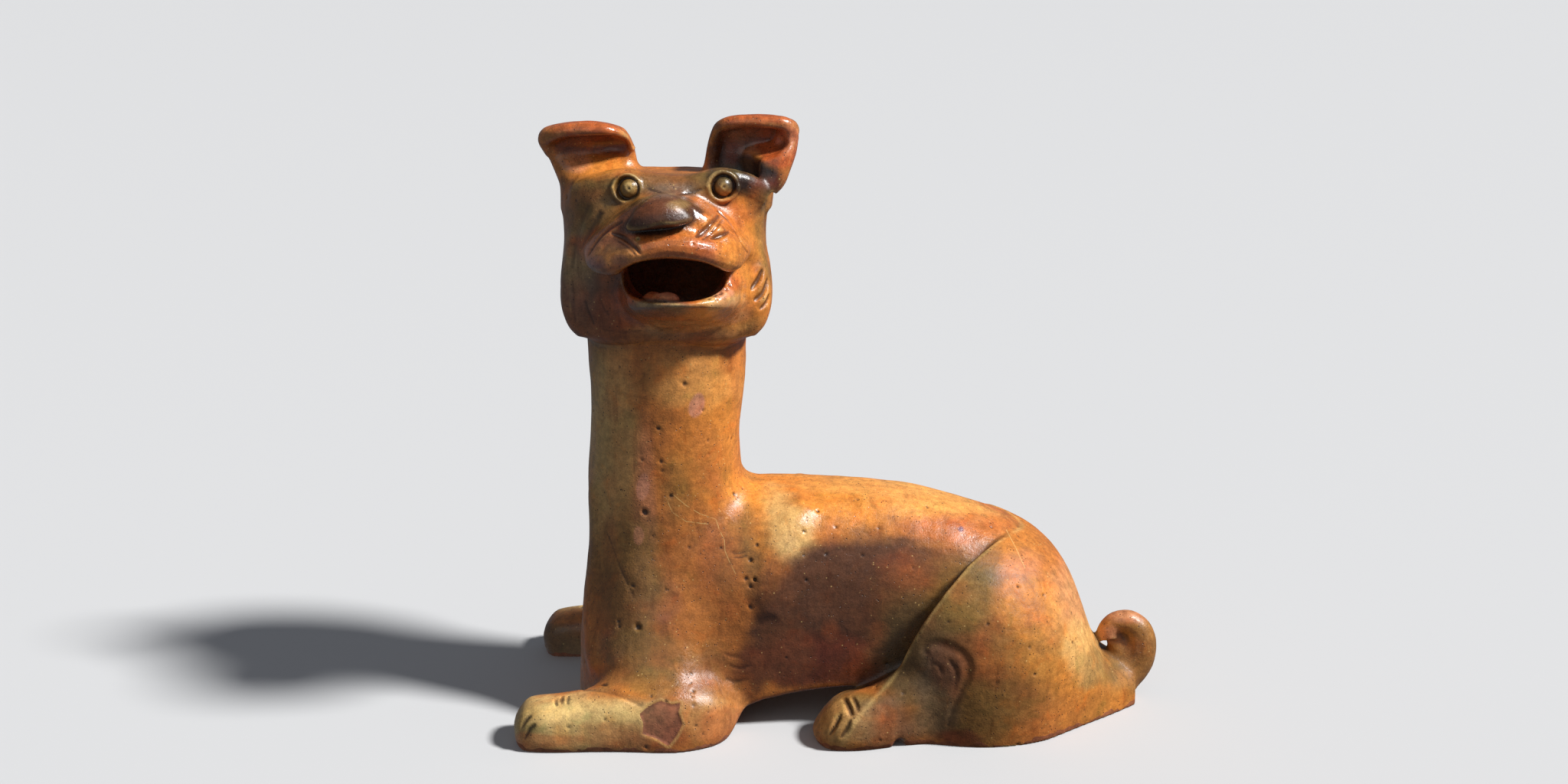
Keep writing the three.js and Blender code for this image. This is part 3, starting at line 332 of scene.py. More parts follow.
class ClayBlock:
    """Clay on a grid of cells, each of which holds the distance to the clay's skin."""

    far: float = 12.0  # what the field holds where no clay is near
    nearness: float = 3.0  # how many cells of distance the skin is made from

    def __init__(self, low: Point, high: Point, cell: float) -> None:
        """Clears a block between two corners, with cells of the given size."""
        self.cell = cell
        self.low = np.array(low, float)
        self.shape = np.ceil((np.array(high) - self.low) / cell).astype(int) + 1
        self.field = np.full(self.shape, self.far, np.float32)

    def window(self, low: Array, high: Array) -> tuple[Array, Array] | None:
        """The first and last cells of the part of the block between two corners, if any."""
        first = np.maximum(np.floor((low - self.low) / self.cell).astype(int), 0)
        last = np.minimum(np.ceil((high - self.low) / self.cell).astype(int) + 1, self.shape)
        return (first, last) if (last - first > 1).all() else None

    def distance(self, form: Form, reach: float) -> tuple[Array, Place] | None:
        """The distance to a form, and where in the block it is known.

        Args:
            form: the form to measure from.
            reach: how far from the form the distance is needed.

        Returns:
            The distances and their place, or nothing where the form is outside the block.
        """
        reach += 2 * self.cell
        low, high = form.box()
        window = self.window(low - reach, high + reach)
        if window is None:
            return None
        first, last = window
        points = ((form.points - self.low) / self.cell).astype(np.float32)
        grid = vdb.FloatGrid.createLevelSetFromPolygons(
            points,
            triangles=form.triangles.astype(np.uint32) if len(form.triangles) else None,
            quads=form.quads.astype(np.uint32) if len(form.quads) else None,
            halfWidth=reach / self.cell,
        )
        found = np.empty(last - first, np.float32)
        grid.copyToArray(found, ijk=tuple(int(i) for i in first))
        return found * self.cell, tuple(slice(a, b) for a, b in zip(first, last))

    def coordinates(self, place: Place) -> list[Array]:
        """The x, y and z of the cells of a part of the block, ready to combine."""
        axes = [self.low[i] + self.cell * np.arange(part.start, part.stop) for i, part in enumerate(place)]
        return np.meshgrid(*axes, indexing="ij", sparse=True)

    def add(self, form: Form, blend: float = 1.0, grow: float = 0.0, reach: float = 4.0) -> None:
        """Lays a form on the clay.

        Args:
            form: the form to add.
            blend: the width over which it is smoothed into its neighbours.
            grow: how much fatter than the form the clay is.
            reach: how far round it later forms may blend with it.
        """
        found = self.distance(form, max(blend, reach) + abs(grow) + 1.0)
        if found:
            distance, place = found
            self.field[place] = self.smooth_min(self.field[place], distance - grow, blend)

    def cut(self, form: Form, blend: float = 1.0) -> None:
        """Takes a form out of the clay, with its edge smoothed over the blend's width."""
        found = self.distance(form, blend + 1.0)
        if found:
            distance, place = found
            self.field[place] = -self.smooth_min(-self.field[place], distance, blend)

    @staticmethod
    def smooth_min(a: Array, b: Array, blend: float) -> Array:
        """The lesser of two distances, rounded where they are nearly equal."""
        h = np.maximum(blend - np.abs(a - b), 0) / blend
        return np.minimum(a, b) - h * h * (blend / 4)

    def trim(self, low: Array, high: Array) -> None:
        """Cuts off what is outside a box."""
        axes = self.coordinates(tuple(slice(0, n) for n in self.shape))
        for at, least, most in zip(axes, low, high):
            np.maximum(self.field, (least - at).astype(np.float32), out=self.field)
            np.maximum(self.field, (at - most).astype(np.float32), out=self.field)

    def knead(self, spacing: float, depth: float, seed: int) -> None:
        """Makes the skin uneven by hand, with swellings of the given spacing and depth."""
        self.field += depth * Drift(spacing, seed).on_grid(self.low, self.cell, self.shape)

    def close(self) -> None:
        """Ends the clay just inside the block's own faces."""
        for axis in range(3):
            for end in (0, -1):
                place = [slice(None)] * 3
                place[axis] = end
                self.field[tuple(place)] = self.cell

    def skin(self, every: int = 1) -> Form:
        """The clay's skin, as quads from every cell or from every so many."""
        cell = self.cell * every
        band = np.clip(self.field[::every, ::every, ::every] / cell, -self.nearness, self.nearness)
        grid = vdb.FloatGrid(self.nearness)
        grid.copyFromArray(band)
        points, quads = grid.convertToQuads(isovalue=0.0)
        points = points.astype(float) * cell + self.low
        quads = quads.astype(int)
        a, b, c = (points[quads[:, i]] for i in range(3))
        if np.einsum("ij,ij->", a, np.cross(b, c)) < 0:
            quads = quads[:, ::-1]
        return Form(points, quads, np.zeros((0, 3), int))

    def read(self, points: Array) -> Array:
        """The distance to the skin at each of some points."""
        at = np.clip((points - self.low) / self.cell, 0, self.shape - 1.001)
        first = at.astype(int)
        return read_lattice(self.field, first, (at - first).astype(np.float32))

    def bulge(self, points: Array, reach: float) -> Array:
        """How much the skin bulges outwards at some points, from the slopes of the field round them."""
        total = -6 * self.read(points)
        for step in np.eye(3) * reach:
            total += self.read(points + step) + self.read(points - step)
        return total / reach

    def normals(self, points: Array, reach: float = 0.9) -> Array:
        """The skin's outward directions at some points."""
        step = np.eye(3) * reach * self.cell
        slope = np.stack([self.read(points + s) - self.read(points - s) for s in step], -1)
        return slope / np.maximum(np.linalg.norm(slope, axis=1, keepdims=True), 1e-9)


# Tools made with Geometry Nodes


def put_in_scene(name: str, data: bpy.types.ID) -> bpy.types.Object:
    """A new object of a mesh, lamp or camera, in the scene."""
    made = bpy.data.objects.new(name, data)
    bpy.context.scene.collection.objects.link(made)
    return made


def finished_mesh(thing: bpy.types.Object) -> bpy.types.Mesh:
    """The plain mesh that an object's modifiers make."""
    graph = bpy.context.evaluated_depsgraph_get()
    return bpy.data.meshes.new_from_object(thing.evaluated_get(graph), depsgraph=graph)


class NodeTool:
    """A Geometry Nodes tree with named inputs, and what it makes of a mesh."""

    def __init__(self, name: str, inputs: dict[str, tuple[str, float | int]]) -> None:
        """Starts a tree with a geometry socket, a material and the given inputs."""
        self.tree = bpy.data.node_groups.new(name, "GeometryNodeTree")
        sockets = self.tree.interface
        sockets.new_socket("Geometry", in_out="INPUT", socket_type="NodeSocketGeometry")
        self.keys: dict[str, str] = {}
        for label, (kind, value) in inputs.items():
            made = sockets.new_socket(label, in_out="INPUT", socket_type=f"NodeSocket{kind}")
            made.default_value = value
            self.keys[label] = made.identifier
        made = sockets.new_socket("Material", in_out="INPUT", socket_type="NodeSocketMaterial")
        self.keys["Material"] = made.identifier
        sockets.new_socket("Geometry", in_out="OUTPUT", socket_type="NodeSocketGeometry")
        self.start = self.tree.nodes.new("NodeGroupInput")

    def node(self, kind: str, **settings: object) -> bpy.types.Node:
        """Adds a node and sets its properties."""
        made = self.tree.nodes.new(kind)
        for key, value in settings.items():
            setattr(made, key, value)
        return made

    def link(self, source: Socket, target: Socket) -> None:
        """Joins two sockets."""
        self.tree.links.new(source, target)

    def finish(self, source: Socket) -> None:
        """Ends the tree with its copies made real and a material on them."""
        realize = self.node("GeometryNodeRealizeInstances")
        paint = self.node("GeometryNodeSetMaterial")
        end = self.node("NodeGroupOutput")
        self.link(source, realize.inputs[0])
        self.link(realize.outputs[0], paint.inputs["Geometry"])
        self.link(self.start.outputs["Material"], paint.inputs["Material"])
        self.link(paint.outputs[0], end.inputs[0])

    def make(self, mesh: bpy.types.Mesh, values: dict[str, float | int]) -> Form:
        """Runs the tree on a mesh.

        Args:
            mesh: what the tree starts from. It is removed afterwards.
            values: the inputs to set, by name.

        Returns:
            The closed skins that the tree makes.
        """
        holder = put_in_scene("tool", mesh)
        modifier = holder.modifiers.new("tool", "NODES")
        modifier.node_group = self.tree
        for label, value in values.items():
            modifier[self.keys[label]] = value
        made = finished_mesh(holder)
        bpy.data.objects.remove(holder)
        bpy.data.meshes.remove(mesh)
        form = form_of_mesh(made)
        bpy.data.meshes.remove(made)
        return form


def form_of_mesh(mesh: bpy.types.Mesh) -> Form:
    """A mesh's points as they are, and its faces as triangles."""
    mesh.calc_loop_triangles()
    points = np.empty(len(mesh.vertices) * 3, np.float32)
    mesh.vertices.foreach_get("co", points)
    triangles = np.empty(len(mesh.loop_triangles) * 3, np.int32)
    mesh.loop_triangles.foreach_get("vertices", triangles)
    return Form(points.reshape(-1, 3).astype(float), np.zeros((0, 4), int), triangles.reshape(-1, 3))


def mesh_of_form(name: str, form: Form) -> bpy.types.Mesh:
    """A Blender mesh of a form's quads or triangles, in the form's own units."""
    faces = form.quads if len(form.quads) else form.triangles
    count, corners = faces.shape
    mesh = bpy.data.meshes.new(name)
    mesh.vertices.add(len(form.points))
    mesh.vertices.foreach_set("co", form.points.astype(np.float32).ravel())
    mesh.loops.add(count * corners)
    mesh.loops.foreach_set("vertex_index", faces.astype(np.int32).ravel())
    mesh.polygons.add(count)
    mesh.polygons.foreach_set("loop_start", np.arange(0, corners * count, corners, dtype=np.int32))
    mesh.update(calc_edges=True)
    return mesh


class StrandTool(NodeTool):
    """Rolls strands of clay along paths, and the blades that incise lines, thick where told."""

    def __init__(self) -> None:
        """Builds the tree: a path made smooth, with a round section swept along it."""
        super().__init__("clay_strand", {"Spacing": ("Float", 1.0), "Sides": ("Int", 16)})
        curve = self.node("GeometryNodeMeshToCurve")
        smooth = self.node("GeometryNodeCurveSplineType", spline_type="CATMULL_ROM")
        girth = self.node("GeometryNodeInputNamedAttribute", data_type="FLOAT")
        girth.inputs["Name"].default_value = "girth"
        thick = self.node("GeometryNodeSetCurveRadius")
        even = self.node("GeometryNodeResampleCurve", mode="LENGTH")
        radius = self.node("GeometryNodeInputRadius")
        ring = self.node("GeometryNodeCurvePrimitiveCircle", mode="RADIUS")
        sweep = self.node("GeometryNodeCurveToMesh")
        self.link(self.start.outputs["Geometry"], curve.inputs["Mesh"])
        self.link(curve.outputs[0], thick.inputs["Curve"])
        self.link(girth.outputs["Attribute"], thick.inputs["Radius"])
        self.link(thick.outputs[0], smooth.inputs["Curve"])
        self.link(smooth.outputs[0], even.inputs["Curve"])
        self.link(self.start.outputs["Spacing"], even.inputs["Length"])
        self.link(self.start.outputs["Sides"], ring.inputs["Resolution"])
        ring.inputs["Radius"].default_value = 1.0
        self.link(even.outputs[0], sweep.inputs["Curve"])
        self.link(ring.outputs["Curve"], sweep.inputs["Profile Curve"])
        self.link(radius.outputs[0], sweep.inputs["Scale"])
        sweep.inputs["Fill Caps"].default_value = True
        self.finish(sweep.outputs[0])

    def roll(self, path: Array | Sequence[Row], spacing: float = 1.0) -> Form:
        """Makes a strand.

        Args:
            path: rows of x, y, z and radius.
            spacing: the distance between rings.

        Returns:
            The strand's skin.
        """
        rows = np.array(path, float)
        mesh = bpy.data.meshes.new("path")
        mesh.from_pydata(rows[:, :3].tolist(), [(i, i + 1) for i in range(len(rows) - 1)], [])
        girth = mesh.attributes.new("girth", "FLOAT", "POINT")
        girth.data.foreach_set("value", rows[:, 3].astype(np.float32))
        return self.make(mesh, {"Spacing": spacing})


class PinholeTool(NodeTool):
    """Scatters the pinholes that gas from the clay leaves in a glaze."""

    def __init__(self) -> None:
        """Builds the tree: points strewn over a skin, with a small ball on each."""
        super().__init__(
            "glaze_pinholes",
            {"Density": ("Float", 0.002), "Smallest": ("Float", 0.4), "Largest": ("Float", 0.8), "Seed": ("Int", 1)},
        )
        scatter = self.node("GeometryNodeDistributePointsOnFaces")
        ico = self.node("GeometryNodeMeshIcoSphere")
        ico.inputs["Subdivisions"].default_value = 2
        ico.inputs["Radius"].default_value = 1.0
        size = self.node("FunctionNodeRandomValue", data_type="FLOAT")
        copies = self.node("GeometryNodeInstanceOnPoints")
        self.link(self.start.outputs["Geometry"], scatter.inputs["Mesh"])
        self.link(self.start.outputs["Density"], scatter.inputs["Density"])
        self.link(self.start.outputs["Seed"], scatter.inputs["Seed"])
        self.link(self.start.outputs["Smallest"], size.inputs[2])
        self.link(self.start.outputs["Largest"], size.inputs[3])
        self.link(self.start.outputs["Seed"], size.inputs["Seed"])
        self.link(scatter.outputs["Points"], copies.inputs["Points"])
        self.link(ico.outputs["Mesh"], copies.inputs["Instance"])
        self.link(size.outputs[1], copies.inputs["Scale"])
        self.finish(copies.outputs[0])

    def strew(self, skin: Form, density: float, smallest: float, largest: float, seed: int) -> Form:
        """Balls on a skin: so many for each square millimetre, of random radius between two sizes."""
        values = {"Density": density, "Smallest": smallest, "Largest": largest, "Seed": seed}
        return self.make(mesh_of_form("skin", skin), values)


# Where things show


@dataclass
class Sight:
    """Looks at the clay from the viewer's place, to find where a mark belongs on it."""

    eye: Point = (57.0, -880.0, 406.0)
    pitch: float = 15.5
    focal: float = 2400.0
    middle: Mark = (1024.0, 512.0)
    tree: BVHTree | None = field(default=None, repr=False)

    def learn(self, skin: Form) -> None:
        """Takes in the clay's skin as it is now."""
        self.tree = BVHTree.FromPolygons(skin.points.tolist(), skin.quads.tolist())

    def ray(self, x: float, y: float) -> Vector:
        """The direction in which a point of the picture lies."""
        p = math.radians(self.pitch)
        ahead, up = Vector((0, math.cos(p), -math.sin(p))), Vector((0, math.sin(p), math.cos(p)))
        way = ahead * self.focal + Vector((1, 0, 0)) * (x - self.middle[0]) + up * (self.middle[1] - y)
        return way.normalized()

    def project(self, points: Array) -> tuple[Array, Array]:
        """Where points of space show in the picture."""
        p = math.radians(self.pitch)
        x, y, z = (points - np.array(self.eye)).T
        depth = y * math.cos(p) - z * math.sin(p)
        height = y * math.sin(p) + z * math.cos(p)
        return self.middle[0] + self.focal * x / depth, self.middle[1] - self.focal * height / depth

    def touch(self, x: float, y: float) -> tuple[Vector, Vector] | None:
        """The point of the skin that shows at a point of the picture, and its outward direction."""
        found = self.tree.ray_cast(Vector(self.eye), self.ray(x, y))
        return (found[0], found[1]) if found[0] is not None else None

    def trace(self, marks: Sequence[Mark], radius: float, depth: float, spacing: float = 3.0) -> Array:
        """A blade's path along marks in the picture, sunk into the skin, thin at both ends.

        Args:
            marks: points of the picture.
            radius: the blade's greatest radius.
            depth: how far it cuts below the skin.
            spacing: how far apart in the picture the skin is touched.

        Returns:
            Rows of x, y, z and radius.
        """
        line = np.array(marks, float)
        at = distances_along(line)
        count = max(4, int(at[-1] / spacing))
        read = smooth_rows(at, line, np.linspace(0, at[-1], count))
        rows = []
        for i, (x, y) in enumerate(read):
            found = self.touch(x, y)
            if found is None:
                continue
            share = i / (count - 1)
            girth = radius * (0.35 + 0.65 * math.sqrt(max(0.0, math.sin(math.pi * share))))
            place, out = found
            rows.append((*(place + out * (girth - depth * girth / radius)), girth))
        return np.array(rows)


# The figure's parts, each with its sizes


@dataclass
class Barrel:
    """The trunk: a barrel from the neck's axis to the rump, open underneath."""

    sections: Rows = (
        (0, 35.9, 112.1, 2.3), (28.1, 43.7, 115.6, 2.4), (58.3, 44.2, 116.2, 2.5), (90.7, 41.4, 115, 2.5),
        (118.8, 42.4, 112.1, 2.4), (151.2, 44.6, 103.4, 2.3), (177.1, 44.4, 92, 2.2), (196.6, 38.6, 72, 2.1),
        (207.4, 31.3, 53.1, 2), (213.8, 19.3, 34.2, 2),
    )
    widest: float = 46.0
    wall: float = 7.0
    arch: tuple[Mark, ...] = (
        (26, -10), (26, 0), (31, 5.6), (38, 10.4), (47, 14.2), (58, 17.2), (75.5, 20.2), (90, 22.2), (102, 21.6),
        (110, 17), (114.5, 8), (116, -10),
    )

    def skin(self) -> Form:
        """The barrel, from x, half-width, top and squareness."""
        rows = []
        for x, half, top, fullness in self.sections:
            waist = min(self.widest, top / 2)
            rows.append(oval((x, 0.0, waist), half, top - waist, 80.0, fullness))
        return loft(rows, Axis.LENGTHWAYS, steps=60, sides=96)

    def model(self, clay: ClayBlock) -> None:
        """Lays the barrel against the neck."""
        clay.add(self.skin(), blend=10.0, reach=10.0)

    def cut_arch(self, clay: ClayBlock) -> None:
        """Lifts the belly off the table between the elbow and the thigh."""
        clay.cut(prism(self.arch, 90.0), blend=3.0)


@dataclass
class Neck:
    """The neck column: a tube that widens into the chest and stands on the table."""

    sections: Rows = (
        (-4, 48, 47, 44.3, 2.5), (16, 47.3, 47, 43.4, 2.47), (44, 44.5, 46, 41.6, 2.41),
        (66, 40.9, 43, 39.8, 2.37), (90, 37.9, 41, 38.4, 2.32), (120, 35.9, 41.4, 36.2, 2.26),
        (142, 35.7, 39.4, 34.8, 2.22), (164, 36.2, 38.6, 36.9, 2.17), (188, 36.5, 39.6, 38.2, 2.12),
        (214, 36.5, 39.8, 38.2, 2.08),
    )
    apron: Rows = (
        (-6, 44, 33, 69), (8, 44, 33, 68), (20, 43.6, 32, 64.5), (34, 43, 29, 57.5), (50, 41.4, 25, 49),
        (66, 38, 20, 42), (84, 33, 14, 34),
    )
    wall: float = 7.0

    def skin(self) -> Form:
        """The column, from z, half-width, reach to the front and to the tail, and squareness."""
        rows = [
            (0.0, 0.0, z, front, back, half, half, fullness, fullness, 0.0)
            for z, half, front, back, fullness in self.sections
        ]
        return loft(rows, Axis.UPRIGHT, steps=60, sides=96)

    def model(self, clay: ClayBlock) -> None:
        """Stands the column on the table and spreads the chest out over the forelegs."""
        clay.add(self.skin(), reach=11.0)
        rows = [(0.0, 0.0, z, front, back, half, half, 2.35, 2.35, 0.0) for z, front, back, half in self.apron]
        clay.add(loft(rows, Axis.UPRIGHT), blend=9.0, reach=11.0)


@dataclass
class Legs:
    """Forelegs and hind feet, which lie along the table."""

    forelegs: Rows = (
        (-75.4, 56, 12, 8.4), (-69, 56.4, 13.4, 10.2), (-59.7, 57, 14, 11.3), (-42, 57, 13.6, 12.6),
        (-26, 56.4, 13.8, 14.4), (-7.4, 55, 14, 15), (17.6, 51.6, 14.7, 14), (34, 45, 13, 11),
    )
    hind_feet: Rows = (
        (70.8, 54, 10.4, 5.6), (77, 54.4, 13.4, 8.2), (86, 55, 14.8, 11.2), (96, 55, 14.6, 12.9),
        (106, 53.6, 14, 15.2), (118, 51, 13, 17.4), (132, 48, 12, 17),
    )
    heel_notch: tuple[Point, Point] = ((113.0, 64.0, -1.0), (3.2, 9.0, 5.6))

    def model(self, clay: ClayBlock) -> None:
        """Lays both pairs against the body."""
        limbs = ((self.forelegs, 2.5, 3.4, 9.0, 15.0), (self.hind_feet, 2.0, 3.0, 13.0, 14.0))
        for side in (-1, 1):
            for sections, above, below, start, end in limbs:
                rows = [oval((x, side * y, up), half, up, up + 4, above, below) for x, y, half, up in sections]
                clay.add(loft(rows, Axis.LENGTHWAYS, start, end), blend=8.0)
            (x, y, z), radii = self.heel_notch
            clay.cut(ball((x, side * y, z), radii), blend=2.0)


@dataclass
class Thighs:
    """Slabs over the rear of the barrel, whose front edge is a raised step."""

    sections: Rows = (
        (88, 44, 84), (102, 51, 96), (118, 58.6, 104), (134, 63.2, 106), (150, 66, 103), (165, 65.6, 98.4),
        (178, 62, 92.6), (188, 56.6, 86), (197, 49.4, 76.4), (205, 42.4, 61.6), (212, 36.4, 42.6),
        (219, 30.8, 27.4), (227, 24.2, 21), (237, 15.6, 15.6),
    )
    edge: tuple[Point, Point, Point] = ((109.8, 57.4, 36.0), (148.1, 44.6, 90.6), (174.4, 13.0, 94.8))
    meeting: float = 9.0  # how roundly the two edges meet on the spine

    def skin(self) -> Form:
        """Both slabs in one, from x, half-width and top."""
        rows = []
        for x, half, top in self.sections:
            waist = min(30.9, top / 2.4)
            rows.append(oval((x, 0.0, waist), half, top - waist, 80.0, 2.15, 2.6))
        return loft(rows, Axis.LENGTHWAYS, steps=60, sides=96)

    def ahead(self, x: Array, y: Array, z: Array) -> Array:
        """How far places lie in front of the slabs' front edges."""
        foot, flank, back = (np.array(p) for p in self.edge)
        normal = np.cross(flank - foot, back - foot)
        normal *= np.sign(normal[0]) / np.linalg.norm(normal)
        away = np.hypot(y, self.meeting)
        return normal[0] * (foot[0] - x) + normal[1] * (foot[1] - away) + normal[2] * (foot[2] - z)

    def model(self, clay: ClayBlock) -> None:
        """Lays the slabs over the barrel, cut along their front edges."""
        found = clay.distance(self.skin(), 9.0)
        if not found:
            return
        distance, place = found
        ahead = self.ahead(*clay.coordinates(place)).astype(np.float32)
        slabs = -clay.smooth_min(-distance, -ahead, 2.5)
        clay.field[place] = clay.smooth_min(clay.field[place], slabs, 1.2)


@dataclass
class Tail:
    """A rolled strap that rises from the rump and curls over forwards."""

    path: Rows = (
        (205, 8, 13), (220, 9, 12.6), (231, 11.6, 11.8), (238.6, 19, 10), (240.6, 27.6, 8.6), (238.8, 35.2, 7.2),
        (233.6, 39.2, 6), (227.6, 38.8, 5.2), (224, 34.6, 5.3), (224.2, 31.2, 5.3),
    )
    webs: tuple[tuple[Point, Point], ...] = (
        ((231.5, 0.0, 24.0), (7.5, 6.0, 6.5)), ((231.0, 0.0, 32.0), (7.5, 2.4, 8.0)),
    )

    def model(self, clay: ClayBlock, roller: StrandTool) -> None:
        """Rolls the tail and lays it on the rump."""
        path = [(x, 0.0, z, girth) for x, z, girth in self.path]
        clay.add(roller.roll(path), blend=5.0)
        for middle, radii in self.webs:
            clay.add(ball(middle, radii), blend=3.0)


@dataclass
class Head:
    """The hollow head: an upright block on the neck, with its brow."""

    sections: Rows = (
        (192.5, 37, 37, 33, 35), (196, 43, 43, 37.5, 38.5), (202, 47, 47, 40, 40.5), (212, 48.6, 49, 41, 41),
        (232, 49, 49, 41.5, 41), (245, 48.6, 48.5, 42, 40), (256, 49, 49.6, 41, 38), (264, 47.5, 48.5, 38.5, 33),
        (269, 44, 45, 35, 25), (272, 37, 38, 30, 14), (274, 24, 24, 23, 2),
    )
    brow: Rows = (
        (-38, -22, 265, 4.6), (-28, -28, 269.6, 5.8), (-16, -31, 271.6, 6.2), (-2, -32, 268.8, 6.2),
        (12, -32, 268.4, 6.2), (26, -31, 272.4, 6.6), (38, -28, 271, 5.8), (47, -22, 265, 5),
    )
    wall: float = 6.0

    def skin(self) -> Form:
        """The block, from z, reach left and right, to the face and to the nape."""
        rows = [
            (0.0, 0.0, z, left, right, back, front, 2.5, 2.9, 0.0)
            for z, left, right, front, back in self.sections
        ]
        return loft(rows, Axis.UPRIGHT, steps=60, sides=96)

    def model(self, clay: ClayBlock, roller: StrandTool) -> None:
        """Sets the block on the neck and rolls the brow onto it."""
        clay.add(self.skin(), blend=2.5, reach=9.0)
        clay.add(roller.roll(self.brow), blend=8.0)


@dataclass
class Face:
    """Muzzle, lips, nose, jaw, mouth, eyes and tongue."""

    offset: float = 3.2
    muzzle: Rows = (
        (-20, 31.4, 266, 232, 0.42), (-38, 32, 268.6, 234, 0.48), (-50, 30.4, 269.8, 237, 0.50),
        (-60, 27.6, 270.4, 240, 0.50), (-68, 22, 269, 243, 0.38), (-73, 15, 264, 246, 0.2),
    )
    lip: Rows = (
        (-31.6, -46, 241.6, 2.2), (-28.2, -57, 240, 5), (-21.4, -66, 241, 6.4), (-9, -71.4, 246.2, 6.8),
        (5, -72.6, 249.6, 6.6), (18, -71, 247.8, 6.6), (27.4, -65.2, 243.4, 6.4), (33.6, -56.2, 240, 4.8),
        (37.4, -47, 240.6, 2.2),
    )
    jaw_offset: float = 8.8
    jaw: Rows = (
        (-20, 31, 241, 199), (-38, 30, 240, 202.5), (-50, 26.4, 235, 208.5), (-59, 23.4, 228, 213.5),
        (-66, 20.6, 225.2, 217.4), (-71, 16.4, 224.6, 220.2),
    )
    mouth: Rows = (
        (-15, 21, 9.8, 19), (-43, 23.5, 9.8, 17.5), (-57, 24, 9.8, 13.6), (-64.6, 22.6, 9.8, 11.4),
        (-71, 22.6, 10, 10.2), (-85, 24, 10.5, 9.6),
    )
    mouth_offset: float = 6.4
    mouth_height: float = 233.4
    nose: Rows = (
        (3.4, -56, 264.8, 9, 8.4, 4.6, 5), (2.8, -64, 264.8, 11.4, 10, 6.4, 5.2),
        (2.4, -70, 264.4, 13.4, 11.6, 7.2, 5.8), (2, -76, 263.2, 13.4, 11.8, 6.4, 5.4),
        (2.2, -80.6, 262, 8.8, 8.6, 4.4, 3.9),
    )
    nose_tilt: float = 8.0  # degrees, with the dog's right side lower
    eyes: Rows = ((818.5, 246.0, 6.1, -1.2), (944.5, 243.5, 6.7, -0.3))
    gaze: Point = (0.0, -1.2, 0.25)  # how the eyes are turned from the skin's own direction
    socket: float = 6.5
    pellet: float = 4.7
    pupil: float = 0.8
    tongue: Rows = (
        (-2, -46, 215, 6), (-3, -57, 220, 5.6), (0, -63.4, 222.6, 3),
    )
    tongue_lump: tuple[Point, Point] = ((3.6, -62.0, 222.6), (5.6, 4.6, 3.6))

    @staticmethod
    def levels(middle: float, sections: Rows, above: float, below: float) -> list[Row]:
        """A loft's rows from y, half-width, top, foot and, where given, how much narrower the top is."""
        return [
            oval((middle, y, (top + low) / 2), half, (top - low) / 2, None, above, below, *pinch)
            for y, half, top, low, *pinch in sections
        ]

    def model(self, clay: ClayBlock, roller: StrandTool) -> None:
        """Builds the face onto the head."""
        rows = self.levels(self.offset, self.muzzle, 2.3, 3.2)
        clay.add(loft(rows, Axis.FORWARDS, end=9.0), blend=6.0, reach=6.0)
        clay.add(roller.roll(self.lip), blend=4.5)
        rows = self.levels(self.jaw_offset, self.jaw, 3.0, 2.2)
        clay.add(loft(rows, Axis.FORWARDS, end=14.0), blend=6.0)
        wedge = loft([(*row, 2.2, 3.4, 0.35) for row in self.nose], Axis.FORWARDS, end=7.0)
        clay.add(turned(wedge, self.nose[2][:3], (0.0, -self.nose_tilt, 0.0)), blend=2.0)

    def open_mouth(self, clay: ClayBlock, roller: StrandTool) -> None:
        """Cuts the mouth and lays the tongue in it."""
        x, z = self.mouth_offset, self.mouth_height
        rows = [oval((x, y, z), half, up, down, 2.4) for y, half, up, down in self.mouth]
        clay.cut(loft(rows, Axis.FORWARDS), blend=2.5)
        clay.add(roller.roll(self.tongue), blend=1.5)
        clay.add(ball(*self.tongue_lump), blend=1.2)

    def set_eyes(self, clay: ClayBlock, roller: StrandTool, sight: Sight) -> None:
        """Presses the sockets, rings them with a raised lid and sets a pellet in each."""
        for x, y, lid, aside in self.eyes:
            found = sight.touch(x, y)
            if found is None:
                continue
            place, out = found
            way = (out + Vector(self.gaze)).normalized()
            right = way.cross(Vector((0, 0, 1))).normalized()
            up = right.cross(way)
            turns = np.linspace(0, 2 * math.pi, 25)
            ring = [(*(place - way * 0.4 + (right * math.cos(a) + up * math.sin(a)) * lid), 1.0) for a in turns]
            for half in (ring[:14], ring[12:]):
                clay.add(roller.roll(half), blend=1.8)
            clay.cut(ball(tuple(place + way * 3.2), (self.socket,) * 3), blend=0.8)
            middle = place + right * aside - way * 2.2
            clay.add(ball(tuple(middle), (self.pellet,) * 3), blend=0.4)
            clay.cut(ball(tuple(middle + way * self.pellet), (self.pupil,) * 3), blend=0.4)


